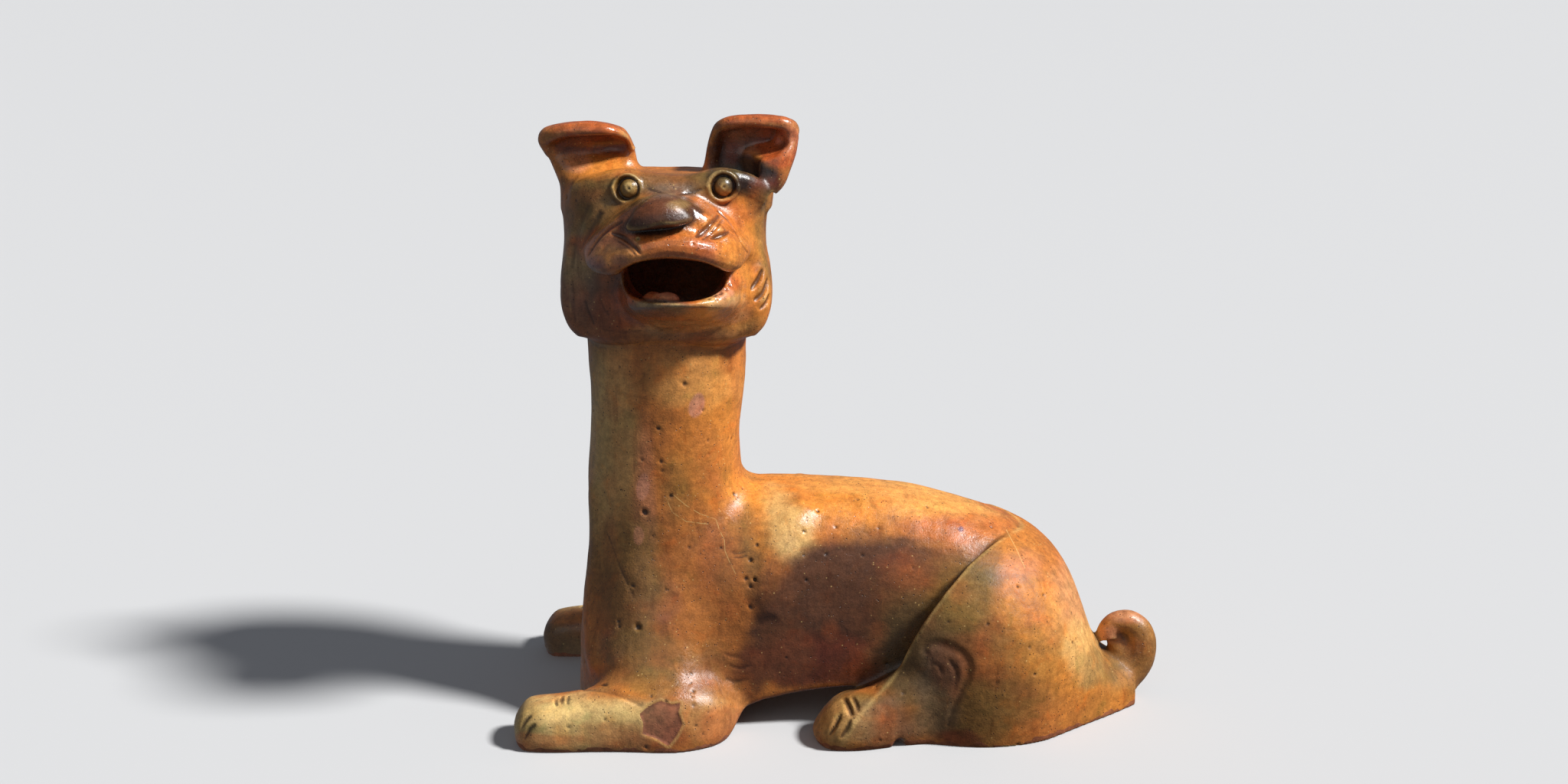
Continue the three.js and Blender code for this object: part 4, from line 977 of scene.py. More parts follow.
@dataclass
class Ears:
    """Two upright scoops of different shape, whose thick rims roll forward.

    A section is its middle, its reach left, right, up and down, and how square it is.
    """

    right: Rows = (
        (-30, -5, 256, 19, 18, 13, 13, 2.4), (-31, -5, 266, 19, 19, 13, 13, 2.4),
        (-33, -4, 276, 21, 20, 12, 9.5, 2.4), (-36, -4, 286, 21.6, 21, 10, 6, 2.5),
        (-37, -6, 292.5, 20, 19, 8, 5, 2.5), (-36.5, -7, 297, 14, 14.5, 5, 4, 2.4),
    )
    right_rim: Rows = (
        (-54, -5, 283, 2.6), (-56, -8, 288.6, 3.2), (-49, -12.5, 292, 3.8), (-38, -14.4, 293.4, 4),
        (-27, -14, 292.8, 4), (-19.4, -11, 289, 3.4), (-15.6, -8, 283, 2.4),
    )
    left: Rows = (
        (38, -3, 256, 16, 13, 11, 11, 2.4), (38, -3, 266, 16, 15, 11, 10, 2.4),
        (39, -3, 276, 17.6, 18, 10.5, 7, 2.4), (43, -3, 287, 20.6, 20, 9.5, 5.5, 2.5),
        (44.5, -6, 295.5, 20.4, 19.4, 7.5, 5, 2.5), (45, -8, 300.6, 15, 14, 4.5, 4, 2.4),
    )
    left_rim: Rows = (
        (21, -8, 272, 3), (22.4, -8, 280, 3.2), (24.2, -9, 288, 3.3), (28, -13, 295, 3.6), (36, -15, 297.2, 4),
        (47, -15.6, 297, 4), (57, -14.6, 296.4, 4), (61.4, -11.6, 293, 3.6),
    )
    fold: Rows = (
        (60.4, -11, 292, 4.4), (57.2, -14, 285.6, 6.4), (55, -17, 278.4, 6.2), (53.4, -19.6, 271.6, 5),
        (50.4, -21, 266.6, 3.6),
    )
    flap: Rows = (
        (57.4, -11.5, 289, 4.4), (51, -13.6, 283, 6.2), (47.4, -16, 276.6, 6), (47, -18.6, 270, 4.6),
    )
    web: tuple[Point, Point, Point] = ((46.0, -12.0, 277.0), (11.0, 7.0, 13.0), (0.0, -24.0, 0.0))
    scoops: tuple[tuple[Point, Point, Point], ...] = (
        ((-36.0, -15.6, 283.6), (19.0, 9.4, 6.4), (0.0, 0.0, 0.0)),
        ((-26.0, -14.0, 284.6), (10.0, 9.0, 5.6), (0.0, 0.0, 0.0)),
        ((41.0, -16.8, 287.6), (17.0, 8.0, 6.6), (0.0, -3.0, 0.0)),
        ((34.6, -18.6, 276.6), (9.6, 8.6, 11.0), (0.0, -16.0, 0.0)),
    )

    def model(self, clay: ClayBlock, roller: StrandTool) -> None:
        """Sets the ears on the head, rolls their rims and scoops them out."""
        for sections in (self.right, self.left):
            rows = [(*row, row[-1], 0.0) for row in sections]
            clay.add(loft(rows, Axis.UPRIGHT, end=4.0), blend=5.0, reach=5.0)
        clay.add(ball(*self.web), blend=3.0)
        for rim in (self.right_rim, self.left_rim, self.fold, self.flap):
            clay.add(roller.roll(rim), blend=4.0)
        for middle, radii, turn in self.scoops:
            clay.cut(ball(middle, radii, turn), blend=4.4)


@dataclass
class Ruffs:
    """Flaps over the lower corners of the head."""

    path: Rows = (
        (40, -21, 238, 3.6), (42.2, -24, 227, 5.2), (42.8, -26, 215, 6), (41.4, -26, 205.6, 5.4),
        (38.6, -25, 200.4, 3.6),
    )
    lean: float = 1.4  # the left one stands this much further out
    behind: float = 11.0

    def model(self, clay: ClayBlock, roller: StrandTool) -> None:
        """Rolls a flap of two folds onto each side."""
        for side in (-1, 1):
            lean = max(0, side) * self.lean
            for behind, blend in ((self.behind, 8.0), (0.0, 7.0)):
                path = [(side * (x + lean), y + behind, z, girth) for x, y, z, girth in self.path]
                clay.add(roller.roll(path), blend=blend)


@dataclass(frozen=True)
class Stroke:
    """A line that a blade leaves, along points of the picture."""

    marks: tuple[Mark, ...]
    radius: float = 0.9
    depth: float = 0.8
    both: bool = False  # whether the far side has it too


@dataclass
class Carving:
    """What is cut into the clay once it is shaped: hair, toes, creases, pits and a chip."""

    head: tuple[Stroke, ...] = (
        Stroke(((799, 305), (815, 311), (836, 331)), 1.2, 1.4),
        Stroke(((806, 314), (818, 320), (829, 333)), 0.8, 0.7),
        Stroke(((909, 309), (924, 298), (939, 280)), 1.5, 1.9),
        Stroke(((917, 313), (931, 302), (944, 286)), 0.9, 0.9),
        Stroke(((928, 311), (940, 308), (953, 302)), 1.3, 1.5),
        Stroke(((937, 275), (954, 292), (966, 312), (977, 330)), 1.1, 0.8),
        Stroke(((812, 290), (790, 304), (776, 320), (768, 334)), 1.1, 0.8),
        Stroke(((981, 378), (990, 366), (996, 352)), 1.3, 1.5),
        Stroke(((985, 392), (996, 384), (1003, 364)), 1.4, 1.6),
        Stroke(((992, 404), (1001, 396), (1005, 384)), 1.2, 1.3),
        Stroke(((998, 424), (1006, 414), (1008, 400)), 1.0, 0.9),
        Stroke(((747, 366), (749, 390), (751, 422)), 1.2, 0.4),
        Stroke(((764, 392), (768, 406), (776, 424)), 1.1, 0.3),
        Stroke(((784, 384), (786, 398), (795, 412)), 1.1, 0.25),
        Stroke(((768, 268), (752, 310), (746, 350)), 3.2, 0.9),
        Stroke(((784, 278), (768, 304), (757, 326)), 2.4, 0.8),
        Stroke(((1002, 262), (1000, 300), (1004, 338)), 2.6, 0.6),
        Stroke(((786, 430), (812, 434), (838, 432)), 0.8, 0.25),
        Stroke(((846, 246), (880, 254), (916, 247)), 1.2, 0.5),
    )
    body: tuple[Stroke, ...] = (
        Stroke(((680, 952), (686, 941), (694, 934)), 1.4, 1.3, True),
        Stroke(((684, 966), (691, 954), (699, 946)), 1.3, 1.2, True),
        Stroke(((728, 911), (726, 917), (728, 922)), 1.0, 1.1, True),
        Stroke(((735, 908), (733, 915), (735, 920)), 1.1, 1.2, True),
        Stroke(((743, 908), (741, 915), (742, 921)), 0.9, 0.9, True),
        Stroke(((1102, 911), (1108, 922), (1113, 936)), 1.5, 1.5, True),
        Stroke(((1113, 909), (1118, 919), (1121, 930)), 1.2, 1.1, True),
        Stroke(((1110, 940), (1106, 952), (1098, 964)), 1.4, 1.3, True),
        Stroke(((1098, 932), (1091, 946), (1083, 960)), 1.4, 1.4, True),
        Stroke(
            (
                (1209, 854), (1209, 846), (1225, 841), (1242, 846), (1258, 856), (1265, 876), (1255, 902),
            ),
            2.6, 0.6, True,
        ),
        Stroke(((1255, 902), (1245, 928), (1238, 948)), 2.0, 0.35, True),
        Stroke(((1216, 866), (1225, 869), (1230, 882)), 1.2, 0.3, True),
        Stroke(((1239, 862), (1248, 876), (1247, 902)), 1.4, 0.3, True),
        Stroke(((783, 895), (788, 894), (793, 896)), 0.9, 0.8),
        Stroke(((865, 929), (872, 943), (881, 957)), 0.8, 0.5),
        Stroke(((946, 853), (957, 858), (966, 858)), 0.9, 0.3),
        Stroke(((952, 869), (966, 873), (984, 868)), 0.9, 0.4),
        Stroke(((948, 886), (960, 890), (976, 887)), 1.0, 0.4),
        Stroke(((953, 721), (964, 723), (975, 720)), 0.7, 0.4),
        Stroke(((955, 727), (966, 728), (977, 725)), 0.7, 0.4),
        Stroke(((794, 697), (808, 736), (829, 783)), 0.7, 0.22),
        Stroke(((760, 900), (800, 905), (838, 922)), 1.8, 0.6),
    )
    ridges: tuple[Stroke, ...] = (
        Stroke(((1052, 664), (1030, 690), (1014, 736), (1006, 800)), 9.0, 15.8, True),
        Stroke(((776, 640), (778, 720), (770, 800), (776, 870)), 7.0, 12.6),
    )
    pits: Rows = (
        (903, 880, 0.8), (901, 893, 0.7), (905, 903, 1), (903, 910, 0.7), (906, 921, 0.9), (902, 935, 0.8),
        (909, 948, 0.9), (842, 669, 2), (876, 648, 1.3), (863, 603, 1.2), (833, 819, 2.2), (826, 765, 1.2),
        (894, 502, 1.4), (959, 645, 1.3), (980, 732, 1.2), (974, 756, 1.2), (986, 757, 1), (980, 766, 1),
        (980, 793, 1.2), (860, 560, 0.9), (925, 575, 0.9), (812, 640, 0.9), (900, 715, 1), (870, 770, 0.9),
        (1068, 668, 0.9), (1148, 690, 0.9), (1290, 815, 1), (1345, 845, 1), (1302, 892, 0.9), (1400, 800, 0.9),
        (700, 915, 0.9), (742, 950, 1), (790, 940, 0.9), (1180, 905, 1), (1238, 812, 0.8), (1330, 700, 0.9),
    )
    nicks: Rows = (
        (926, 390, 1), (933, 386, 1.4), (941, 383, 1.5), (949, 378, 1.3), (936, 392, 0.9), (953, 372, 1),
        (833, 312, 0.9), (958, 352, 0.8), (740, 258, 1), (752, 262, 0.9), (868, 394, 0.8), (905, 318, 0.7),
    )
    chip: tuple[Mark, ...] = (
        (834, 933), (846, 921), (863, 914), (877, 919), (890, 917), (887, 930), (892, 946), (884, 962),
        (873, 975), (858, 966), (838, 959), (839, 945),
    )
    chip_depth: float = 0.7
    chip_block: tuple[Point, Point] = ((-45.0, -80.0, 0.0), (25.0, -25.0, 45.0))

    def raise_ridges(self, clay: ClayBlock, roller: StrandTool, sight: Sight) -> None:
        """Lays soft ridges under the skin, so that it swells over them."""
        for stroke in self.ridges:
            path = sight.trace(stroke.marks, stroke.radius, stroke.depth, 12.0)
            for side in (1, -1) if stroke.both else (1,):
                clay.add(roller.roll(path * np.array([1, side, 1, 1]), 2.0), blend=8.0)

    def incise(self, clay: ClayBlock, roller: StrandTool, sight: Sight, strokes: Sequence[Stroke]) -> None:
        """Draws a blade along strokes, on the far side too where they belong there."""
        for stroke in strokes:
            path = sight.trace(stroke.marks, stroke.radius, stroke.depth)
            if len(path) < 3:
                continue
            blend = max(0.7, 0.8 * path[:, 3].max())
            for side in (1, -1) if stroke.both else (1,):
                clay.cut(roller.roll(path * np.array([1, side, 1, 1]), 0.8), blend=blend)

    def pierce(self, clay: ClayBlock, sight: Sight, pits: Sequence[Point]) -> None:
        """Opens the larger pits."""
        for x, y, radius in pits:
            found = sight.touch(x, y)
            if found:
                place, out = found
                clay.cut(ball(tuple(place + out * radius * 0.35), (radius,) * 3, sides=16), blend=0.6)

    def flake(self, clay: ClayBlock, sight: Sight) -> None:
        """Sinks the place where the glaze has flaked off."""
        low, high = (np.array(corner) for corner in self.chip_block)
        window = clay.window(low, high)
        if window is None:
            return
        place = tuple(slice(a, b) for a, b in zip(*window))
        grids = np.broadcast_arrays(*clay.coordinates(place))
        points = np.stack([g.ravel() for g in grids], -1)
        depth = unit(-within(self.chip, *sight.project(points)) / 2.5) * self.chip_depth
        clay.field[place] += depth.reshape(grids[0].shape).astype(np.float32)


def within(outline: Sequence[Mark], x: Array, y: Array) -> Array:
    """How far points lie outside an outline, or inside it as less than zero, in the picture."""
    inside = np.zeros(x.shape, bool)
    distance = np.full(x.shape, np.inf)
    for (ax, ay), (bx, by) in zip(outline, outline[1:] + outline[:1]):
        t = unit(((x - ax) * (bx - ax) + (y - ay) * (by - ay)) / ((bx - ax) ** 2 + (by - ay) ** 2))
        distance = np.minimum(distance, np.hypot(x - ax - t * (bx - ax), y - ay - t * (by - ay)))
        if ay != by:
            inside ^= ((ay > y) != (by > y)) & (x < (bx - ax) * (y - ay) / (by - ay) + ax)
    return np.where(inside, -distance, distance)


# Colours of the glaze


class Tint(Enum):
    """The glaze's colours over the red clay, as screen values; some are also laid as painted shade (BARK, SOOT,
    PLUM, UMBER, MOSS) and as painted highlights and sheen (STRAW, GOLD, HONEY, PINK, SLATE).
    """

    GOLD = (244, 176, 96)
    HONEY = (226, 142, 56)
    AMBER = (198, 120, 56)
    UMBER = (124, 74, 42)
    RUSSET = (190, 92, 46)
    BARK = (94, 58, 38)
    BRICK = (124, 58, 38)
    OLIVE = (136, 106, 54)
    MOSS = (98, 86, 50)
    STRAW = (230, 192, 122)
    PLUM = (84, 52, 44)
    SLATE = (112, 94, 78)
    PINK = (216, 144, 108)
    VIOLET = (96, 74, 104)
    CLAY = (176, 104, 74)
    SOOT = (46, 32, 26)

    def linear(self) -> Array:
        """The colour as light."""
        value = np.array(self.value) / 255
        return np.where(value > 0.04045, ((value + 0.055) / 1.055) ** 2.4, value / 12.92).astype(np.float32)


Clouds = tuple[tuple[Tint, float, float, int, float], ...]  # tint, strength, spacing, seed, least height


@dataclass(frozen=True)
class Daub:
    """A soft patch of colour: its middle and half-sizes in the picture, its strength and its edge."""

    x: float
    y: float
    across: float
    up: float
    tint: Tint
    strength: float = 0.8
    edge: float = 0.75
    turn: float = 0.0

    def cover(self, x: Array, y: Array, waver: Array) -> Array:
        """How much of the patch covers points of the picture."""
        c, s = math.cos(math.radians(self.turn)), math.sin(math.radians(self.turn))
        right, down = x - self.x, y - self.y
        away = np.hypot((right * c + down * s) / self.across, (down * c - right * s) / self.up)
        away += waver * min(1.0, self.edge, 24.0 / self.up)
        return self.strength * ease(unit((1 + self.edge / 2 - away) / self.edge))


@dataclass(frozen=True)
class ShadePatch:
    """A patch of painted shade with an outline in the picture, soft over a width and frayed along the body."""

    outline: tuple[Mark, ...]
    tint: Tint
    strength: float = 0.8
    edge: float = 30.0

    def cover(self, x: Array, y: Array, waver: Array) -> Array:
        """How much of the patch covers points of the picture."""
        return self.strength * ease(unit(0.5 - within(self.outline, x, y) / self.edge - 0.9 * waver))


class Coat:
    """The colours of some points of the skin, laid one over another."""

    def __init__(self, points: Array, waver: Array, ground: Tint) -> None:
        """Starts with one colour everywhere, and with how far edges waver at each point."""
        self.points, self.waver = points, waver
        self.tint = ground.linear()[None, :].repeat(len(points), 0)

    def lay(self, colour: Tint, cover: Array) -> None:
        """Lets a colour cover the points."""
        self.tint += (colour.linear() - self.tint) * unit(cover)[:, None]

    def drift(self, clouds: Clouds) -> None:
        """Lets colours drift over the points."""
        for colour, strength, spacing, seed, least in clouds:
            self.lay(colour, strength * unit(Drift(spacing, seed).at(self.points) - least))

    def daub(self, daub: Daub | ShadePatch, x: Array, y: Array, share: Array | float = 1.0) -> None:
        """Lays a patch over the points that show at x and y, in a share of its strength."""
        self.lay(daub.tint, daub.cover(x, y, self.waver) * share)


@dataclass
class Painter:
    """Colours the skin as the glaze ran, pooled and wore on it, and paints shade and highlights in as colour."""

    sight: Sight
    thighs: Thighs
    body: tuple[Daub | ShadePatch, ...] = (
        Daub(880, 560, 120, 190, Tint.AMBER, 0.6), Daub(950, 520, 34, 60, Tint.HONEY, 0.6),
        Daub(965, 610, 26, 70, Tint.HONEY, 0.5), Daub(905, 610, 30, 90, Tint.HONEY, 0.35),
        # Painted light (GOLD) on the neck under the jaw, against the head's shadow; olive down the neck's left edge,
        # partly painted shade
        Daub(900, 500, 60, 36, Tint.GOLD, 0.5), Daub(778, 600, 22, 200, Tint.OLIVE, 0.75),
        Daub(798, 580, 34, 130, Tint.STRAW, 0.5), Daub(842, 690, 15, 130, Tint.PINK, 0.42),
        Daub(885, 640, 24, 40, Tint.OLIVE, 0.45), Daub(868, 790, 20, 30, Tint.VIOLET, 0.32),
        Daub(803, 842, 18, 24, Tint.VIOLET, 0.3), Daub(860, 770, 100, 110, Tint.UMBER, 0.33),
        Daub(826, 760, 40, 90, Tint.OLIVE, 0.7), Daub(810, 790, 34, 50, Tint.UMBER, 0.33),
        Daub(850, 850, 70, 30, Tint.OLIVE, 0.5), Daub(930, 700, 30, 120, Tint.UMBER, 0.23),
        Daub(905, 780, 40, 60, Tint.AMBER, 0.5), Daub(985, 690, 18, 80, Tint.OLIVE, 0.5),
        Daub(1004, 660, 26, 70, Tint.HONEY, 0.6), Daub(1120, 645, 190, 34, Tint.HONEY, 0.95),
        Daub(1230, 655, 110, 26, Tint.GOLD, 0.6), Daub(1160, 632, 120, 16, Tint.GOLD, 0.5),
        Daub(1110, 690, 120, 24, Tint.HONEY, 0.55), Daub(1250, 690, 90, 20, Tint.RUSSET, 0.5),
        # Painted highlight (STRAW) along the shoulder ridge; umber below it
        Daub(1030, 690, 30, 48, Tint.STRAW, 0.7, turn=-24), Daub(1020, 784, 34, 50, Tint.UMBER, 0.6),
        # Painted shade: the dark flank between the shoulder and the thigh
        ShadePatch(
            (
                (1056, 716), (1078, 703), (1120, 697), (1180, 700), (1225, 709), (1262, 724), (1300, 742),
                (1290, 775), (1245, 825), (1196, 885), (1080, 890), (985, 896), (962, 874), (972, 840),
                (986, 806), (1006, 780), (1024, 752), (1032, 730),
            ),
            Tint.BARK, 0.98, 30.0,
        ),
        # Painted shade under the belly
        ShadePatch(((990, 846), (1060, 832), (1190, 832), (1200, 900), (990, 900)), Tint.SOOT, 0.9, 44.0),
        # Painted shade on the thigh's front and lower part
        ShadePatch(
            (
                (1230, 740), (1300, 735), (1306, 800), (1298, 860), (1310, 905), (1325, 950), (1180, 960),
                (1180, 880), (1230, 810),
            ),
            Tint.BARK, 0.6, 46.0,
        ),
        # Painted shade (BARK) at the thigh's upper front edge; brick beside it
        Daub(1236, 744, 50, 24, Tint.BARK, 0.7), Daub(1256, 722, 36, 18, Tint.BRICK, 0.3),
        # Brick glaze along the belly, with painted shade (SOOT) low on it
        Daub(1090, 866, 130, 34, Tint.BRICK, 0.68, 0.5), Daub(1090, 872, 120, 24, Tint.SOOT, 0.33),
        Daub(1020, 860, 44, 40, Tint.UMBER, 0.45), Daub(748, 942, 116, 36, Tint.STRAW, 1.0, 0.8),
        Daub(690, 938, 20, 22, Tint.OLIVE, 0.5), Daub(700, 968, 60, 9, Tint.RUSSET, 0.5),
        Daub(800, 962, 40, 16, Tint.RUSSET, 0.45), Daub(828, 905, 26, 12, Tint.HONEY, 0.5),
        Daub(850, 892, 36, 20, Tint.OLIVE, 0.55), Daub(930, 938, 46, 30, Tint.STRAW, 0.3),
        Daub(945, 950, 40, 26, Tint.RUSSET, 0.5), Daub(960, 885, 50, 30, Tint.UMBER, 0.49),
        Daub(905, 905, 26, 40, Tint.UMBER, 0.26), Daub(860, 962, 40, 16, Tint.BRICK, 0.45),
        # Thigh in amber; its front and lower part darkened with umber, moss and plum as painted shade, partly the
        # olive glaze's own colour
        Daub(1330, 800, 160, 110, Tint.AMBER, 0.55), Daub(1240, 870, 120, 100, Tint.UMBER, 0.49),
        Daub(1200, 850, 60, 74, Tint.MOSS, 0.72), Daub(1210, 850, 60, 60, Tint.PLUM, 0.25),
        Daub(1258, 775, 46, 50, Tint.OLIVE, 0.8), Daub(1290, 735, 26, 30, Tint.MOSS, 0.48),
        Daub(1332, 706, 30, 22, Tint.HONEY, 0.5), Daub(1356, 800, 56, 54, Tint.UMBER, 0.23),
        Daub(1330, 742, 26, 22, Tint.PINK, 0.3), Daub(1404, 770, 30, 50, Tint.PINK, 0.4),
        Daub(1360, 700, 50, 26, Tint.UMBER, 0.26), Daub(1390, 865, 60, 50, Tint.HONEY, 0.6),
        Daub(1345, 850, 44, 60, Tint.OLIVE, 0.45), Daub(1425, 925, 70, 30, Tint.HONEY, 0.35),
        Daub(1404, 800, 36, 60, Tint.STRAW, 0.2), Daub(1344, 790, 40, 36, Tint.HONEY, 0.5),
        # Painted highlight (STRAW) on the thigh by the tail; umber low on the thigh
        Daub(1418, 850, 26, 40, Tint.STRAW, 0.45), Daub(1310, 915, 80, 40, Tint.UMBER, 0.45),
        Daub(1270, 930, 80, 40, Tint.OLIVE, 0.55), Daub(1225, 905, 30, 60, Tint.SLATE, 0.45),
        Daub(1252, 964, 26, 10, Tint.BRICK, 0.68), Daub(1240, 870, 26, 34, Tint.BRICK, 0.34),
        Daub(1100, 940, 60, 46, Tint.UMBER, 0.25), Daub(1100, 936, 44, 34, Tint.STRAW, 0.34),
        Daub(1118, 912, 30, 12, Tint.OLIVE, 0.6), Daub(1155, 945, 44, 30, Tint.SLATE, 0.4),
        Daub(1480, 845, 40, 60, Tint.OLIVE, 0.6), Daub(1440, 870, 24, 30, Tint.MOSS, 0.52),
        Daub(1500, 870, 22, 50, Tint.UMBER, 0.33), Daub(1480, 802, 34, 12, Tint.PINK, 0.5),
        Daub(1450, 830, 14, 12, Tint.PINK, 0.5), Daub(1255, 691, 4, 4, Tint.VIOLET, 0.8, 0.5),
        Daub(910, 529, 10, 17, Tint.PINK, 1.0, 0.2, 20), Daub(840, 636, 9, 19, Tint.PINK, 1.0, 0.2, 8),
        Daub(834, 700, 7, 12, Tint.PINK, 0.6, 0.3),
    )
    face: tuple[Daub, ...] = (
        Daub(860, 330, 150, 120, Tint.RUSSET, 0.3), Daub(880, 238, 110, 16, Tint.MOSS, 0.68),
        # Painted sheen (SLATE) on the brow between the eyes
        Daub(870, 232, 60, 12, Tint.UMBER, 0.33), Daub(872, 251, 46, 13, Tint.SLATE, 0.8),
        Daub(818, 250, 34, 22, Tint.OLIVE, 0.85), Daub(946, 246, 34, 26, Tint.OLIVE, 0.85),
        Daub(816, 252, 19, 18, Tint.SOOT, 0.33), Daub(945, 246, 19, 19, Tint.SOOT, 0.24),
        Daub(818, 247, 10, 10, Tint.OLIVE, 0.8, 0.4), Daub(945, 244, 10, 10, Tint.OLIVE, 0.8, 0.4),
        # Painted glints on the eye pellets
        Daub(821, 243, 5, 5, Tint.STRAW, 0.5, 0.5), Daub(949, 240, 5, 5, Tint.STRAW, 0.5, 0.5),
        # Left cheek in slate, darkened with plum as painted shade
        Daub(760, 320, 36, 70, Tint.SLATE, 0.42), Daub(764, 330, 26, 60, Tint.PLUM, 0.28),
        Daub(745, 290, 20, 40, Tint.MOSS, 0.48), Daub(780, 285, 26, 26, Tint.OLIVE, 0.7),
        Daub(752, 370, 30, 70, Tint.SLATE, 0.7), Daub(755, 330, 24, 44, Tint.STRAW, 0.3),
        Daub(780, 395, 30, 44, Tint.SLATE, 0.45), Daub(804, 400, 30, 44, Tint.BRICK, 0.38),
        Daub(796, 415, 30, 20, Tint.BRICK, 0.3), Daub(806, 372, 12, 24, Tint.SOOT, 0.5),
        Daub(866, 320, 120, 28, Tint.RUSSET, 0.8, 0.5), Daub(862, 322, 100, 18, Tint.AMBER, 0.6),
        # Painted light (PINK, GOLD) on the left lobe of the lip, against the nose's shadow
        Daub(800, 332, 40, 18, Tint.PINK, 0.5), Daub(802, 334, 26, 12, Tint.GOLD, 0.5),
        Daub(940, 336, 28, 12, Tint.PINK, 0.35), Daub(822, 338, 30, 12, Tint.HONEY, 0.5),
        Daub(905, 300, 40, 16, Tint.HONEY, 0.5), Daub(930, 320, 40, 20, Tint.RUSSET, 0.5),
        Daub(779, 343, 11, 8, Tint.VIOLET, 0.4), Daub(810, 340, 12, 8, Tint.VIOLET, 0.35),
        Daub(970, 345, 26, 14, Tint.BRICK, 0.45), Daub(970, 310, 40, 60, Tint.HONEY, 0.75),
        Daub(952, 282, 26, 26, Tint.RUSSET, 0.5), Daub(1004, 300, 16, 80, Tint.OLIVE, 0.7),
        Daub(990, 250, 20, 30, Tint.MOSS, 0.48), Daub(988, 395, 28, 36, Tint.HONEY, 0.8),
        Daub(880, 392, 80, 16, Tint.RUSSET, 0.75), Daub(864, 403, 42, 12, Tint.SLATE, 0.95, 0.5),
        Daub(876, 426, 70, 16, Tint.RUSSET, 0.35), Daub(950, 428, 44, 16, Tint.STRAW, 0.3),
        # Painted light (HONEY, STRAW) on the jaw's right corner; straw under the chin
        Daub(880, 431, 56, 12, Tint.STRAW, 0.35), Daub(944, 396, 38, 32, Tint.HONEY, 0.8),
        Daub(942, 396, 24, 20, Tint.STRAW, 0.75), Daub(946, 404, 30, 16, Tint.PINK, 0.4),
        # Painted shade (UMBER) along the underside of the head
        Daub(940, 372, 26, 18, Tint.RUSSET, 0.8), Daub(880, 440, 120, 12, Tint.UMBER, 0.4),
        Daub(765, 425, 34, 18, Tint.UMBER, 0.39), Daub(880, 384, 22, 7, Tint.PINK, 0.8, 0.4),
        Daub(943, 383, 16, 8, Tint.PINK, 0.75, 0.4), Daub(833, 312, 3, 3, Tint.STRAW, 0.9, 0.4),
        Daub(950, 408, 14, 12, Tint.RUSSET, 0.3), Daub(862, 282, 54, 26, Tint.BARK, 0.95, 0.3, -10),
        # Painted highlight (STRAW) on the nose's top
        Daub(866, 276, 34, 14, Tint.UMBER, 0.6, 0.5, -10), Daub(884, 268, 16, 8, Tint.STRAW, 0.45),
        # Painted shade (SOOT) on the nose and its underside
        Daub(862, 282, 50, 22, Tint.SOOT, 0.3, 0.4, -10), Daub(856, 291, 48, 12, Tint.SOOT, 0.75, 0.5, -12),
    )
    ears: tuple[Daub, ...] = (
        # Left ear: russet rim; the hollow under it in the ear's own brick, darkened with brick and plum as painted
        # shade
        Daub(770, 165, 60, 14, Tint.RUSSET, 0.8), Daub(770, 190, 56, 17, Tint.BRICK, 0.71, 0.5),
        Daub(778, 188, 44, 12, Tint.PLUM, 0.35, 0.5), Daub(765, 218, 48, 18, Tint.HONEY, 0.6),
        Daub(750, 214, 20, 12, Tint.PINK, 0.6), Daub(752, 248, 30, 16, Tint.OLIVE, 0.7),
        Daub(985, 152, 60, 12, Tint.RUSSET, 0.85), Daub(978, 180, 50, 14, Tint.BRICK, 0.71, 0.5),
        # Painted shade (SOOT) in the right ear's hollow
        Daub(962, 222, 34, 22, Tint.SOOT, 0.97, 0.4), Daub(975, 184, 44, 16, Tint.PINK, 0.45),
        Daub(1020, 192, 26, 28, Tint.RUSSET, 0.95, 0.5), Daub(1030, 180, 12, 18, Tint.PINK, 0.4),
        # Painted shade (SOOT) low in the right ear's hollow
        Daub(984, 236, 36, 22, Tint.SOOT, 1.0, 0.4), Daub(1022, 240, 20, 16, Tint.BRICK, 0.45),
        # Painted shade (BRICK, BARK) on the right ear's left rim
        Daub(944, 200, 18, 20, Tint.BRICK, 0.8), Daub(934, 192, 11, 50, Tint.BARK, 0.85),
        Daub(946, 226, 20, 10, Tint.MOSS, 0.48),
    )
    # Painted shade (BARK) on the far foreleg, with amber on its top
    far: tuple[Daub, ...] = (
        Daub(745, 850, 70, 60, Tint.BARK, 0.8), Daub(748, 806, 34, 10, Tint.AMBER, 0.6),
    )
    under: Clouds = (
        (Tint.HONEY, 0.45, 38.0, 33, 0.0), (Tint.UMBER, 0.6, 30.0, 34, 0.0), (Tint.OLIVE, 0.5, 24.0, 35, 0.0),
    )
    over: Clouds = ((Tint.RUSSET, 0.35, 12.0, 36, 0.2), (Tint.UMBER, 0.4, 10.0, 37, 0.3))
    lids: tuple[Point, ...] = ((817.0, 246.0, 17.5), (942.0, 243.5, 18.5))
    crack_reach: float = 2.2
    hairlines: tuple[tuple[Mark, ...], ...] = (
        ((884, 650), (896, 660), (914, 671), (935, 678), (940, 693), (946, 705), (947, 720), (953, 734), (958, 744)),
        ((870, 650), (878, 669), (896, 681), (920, 684)), ((1317, 697), (1327, 716), (1337, 738)),
    )

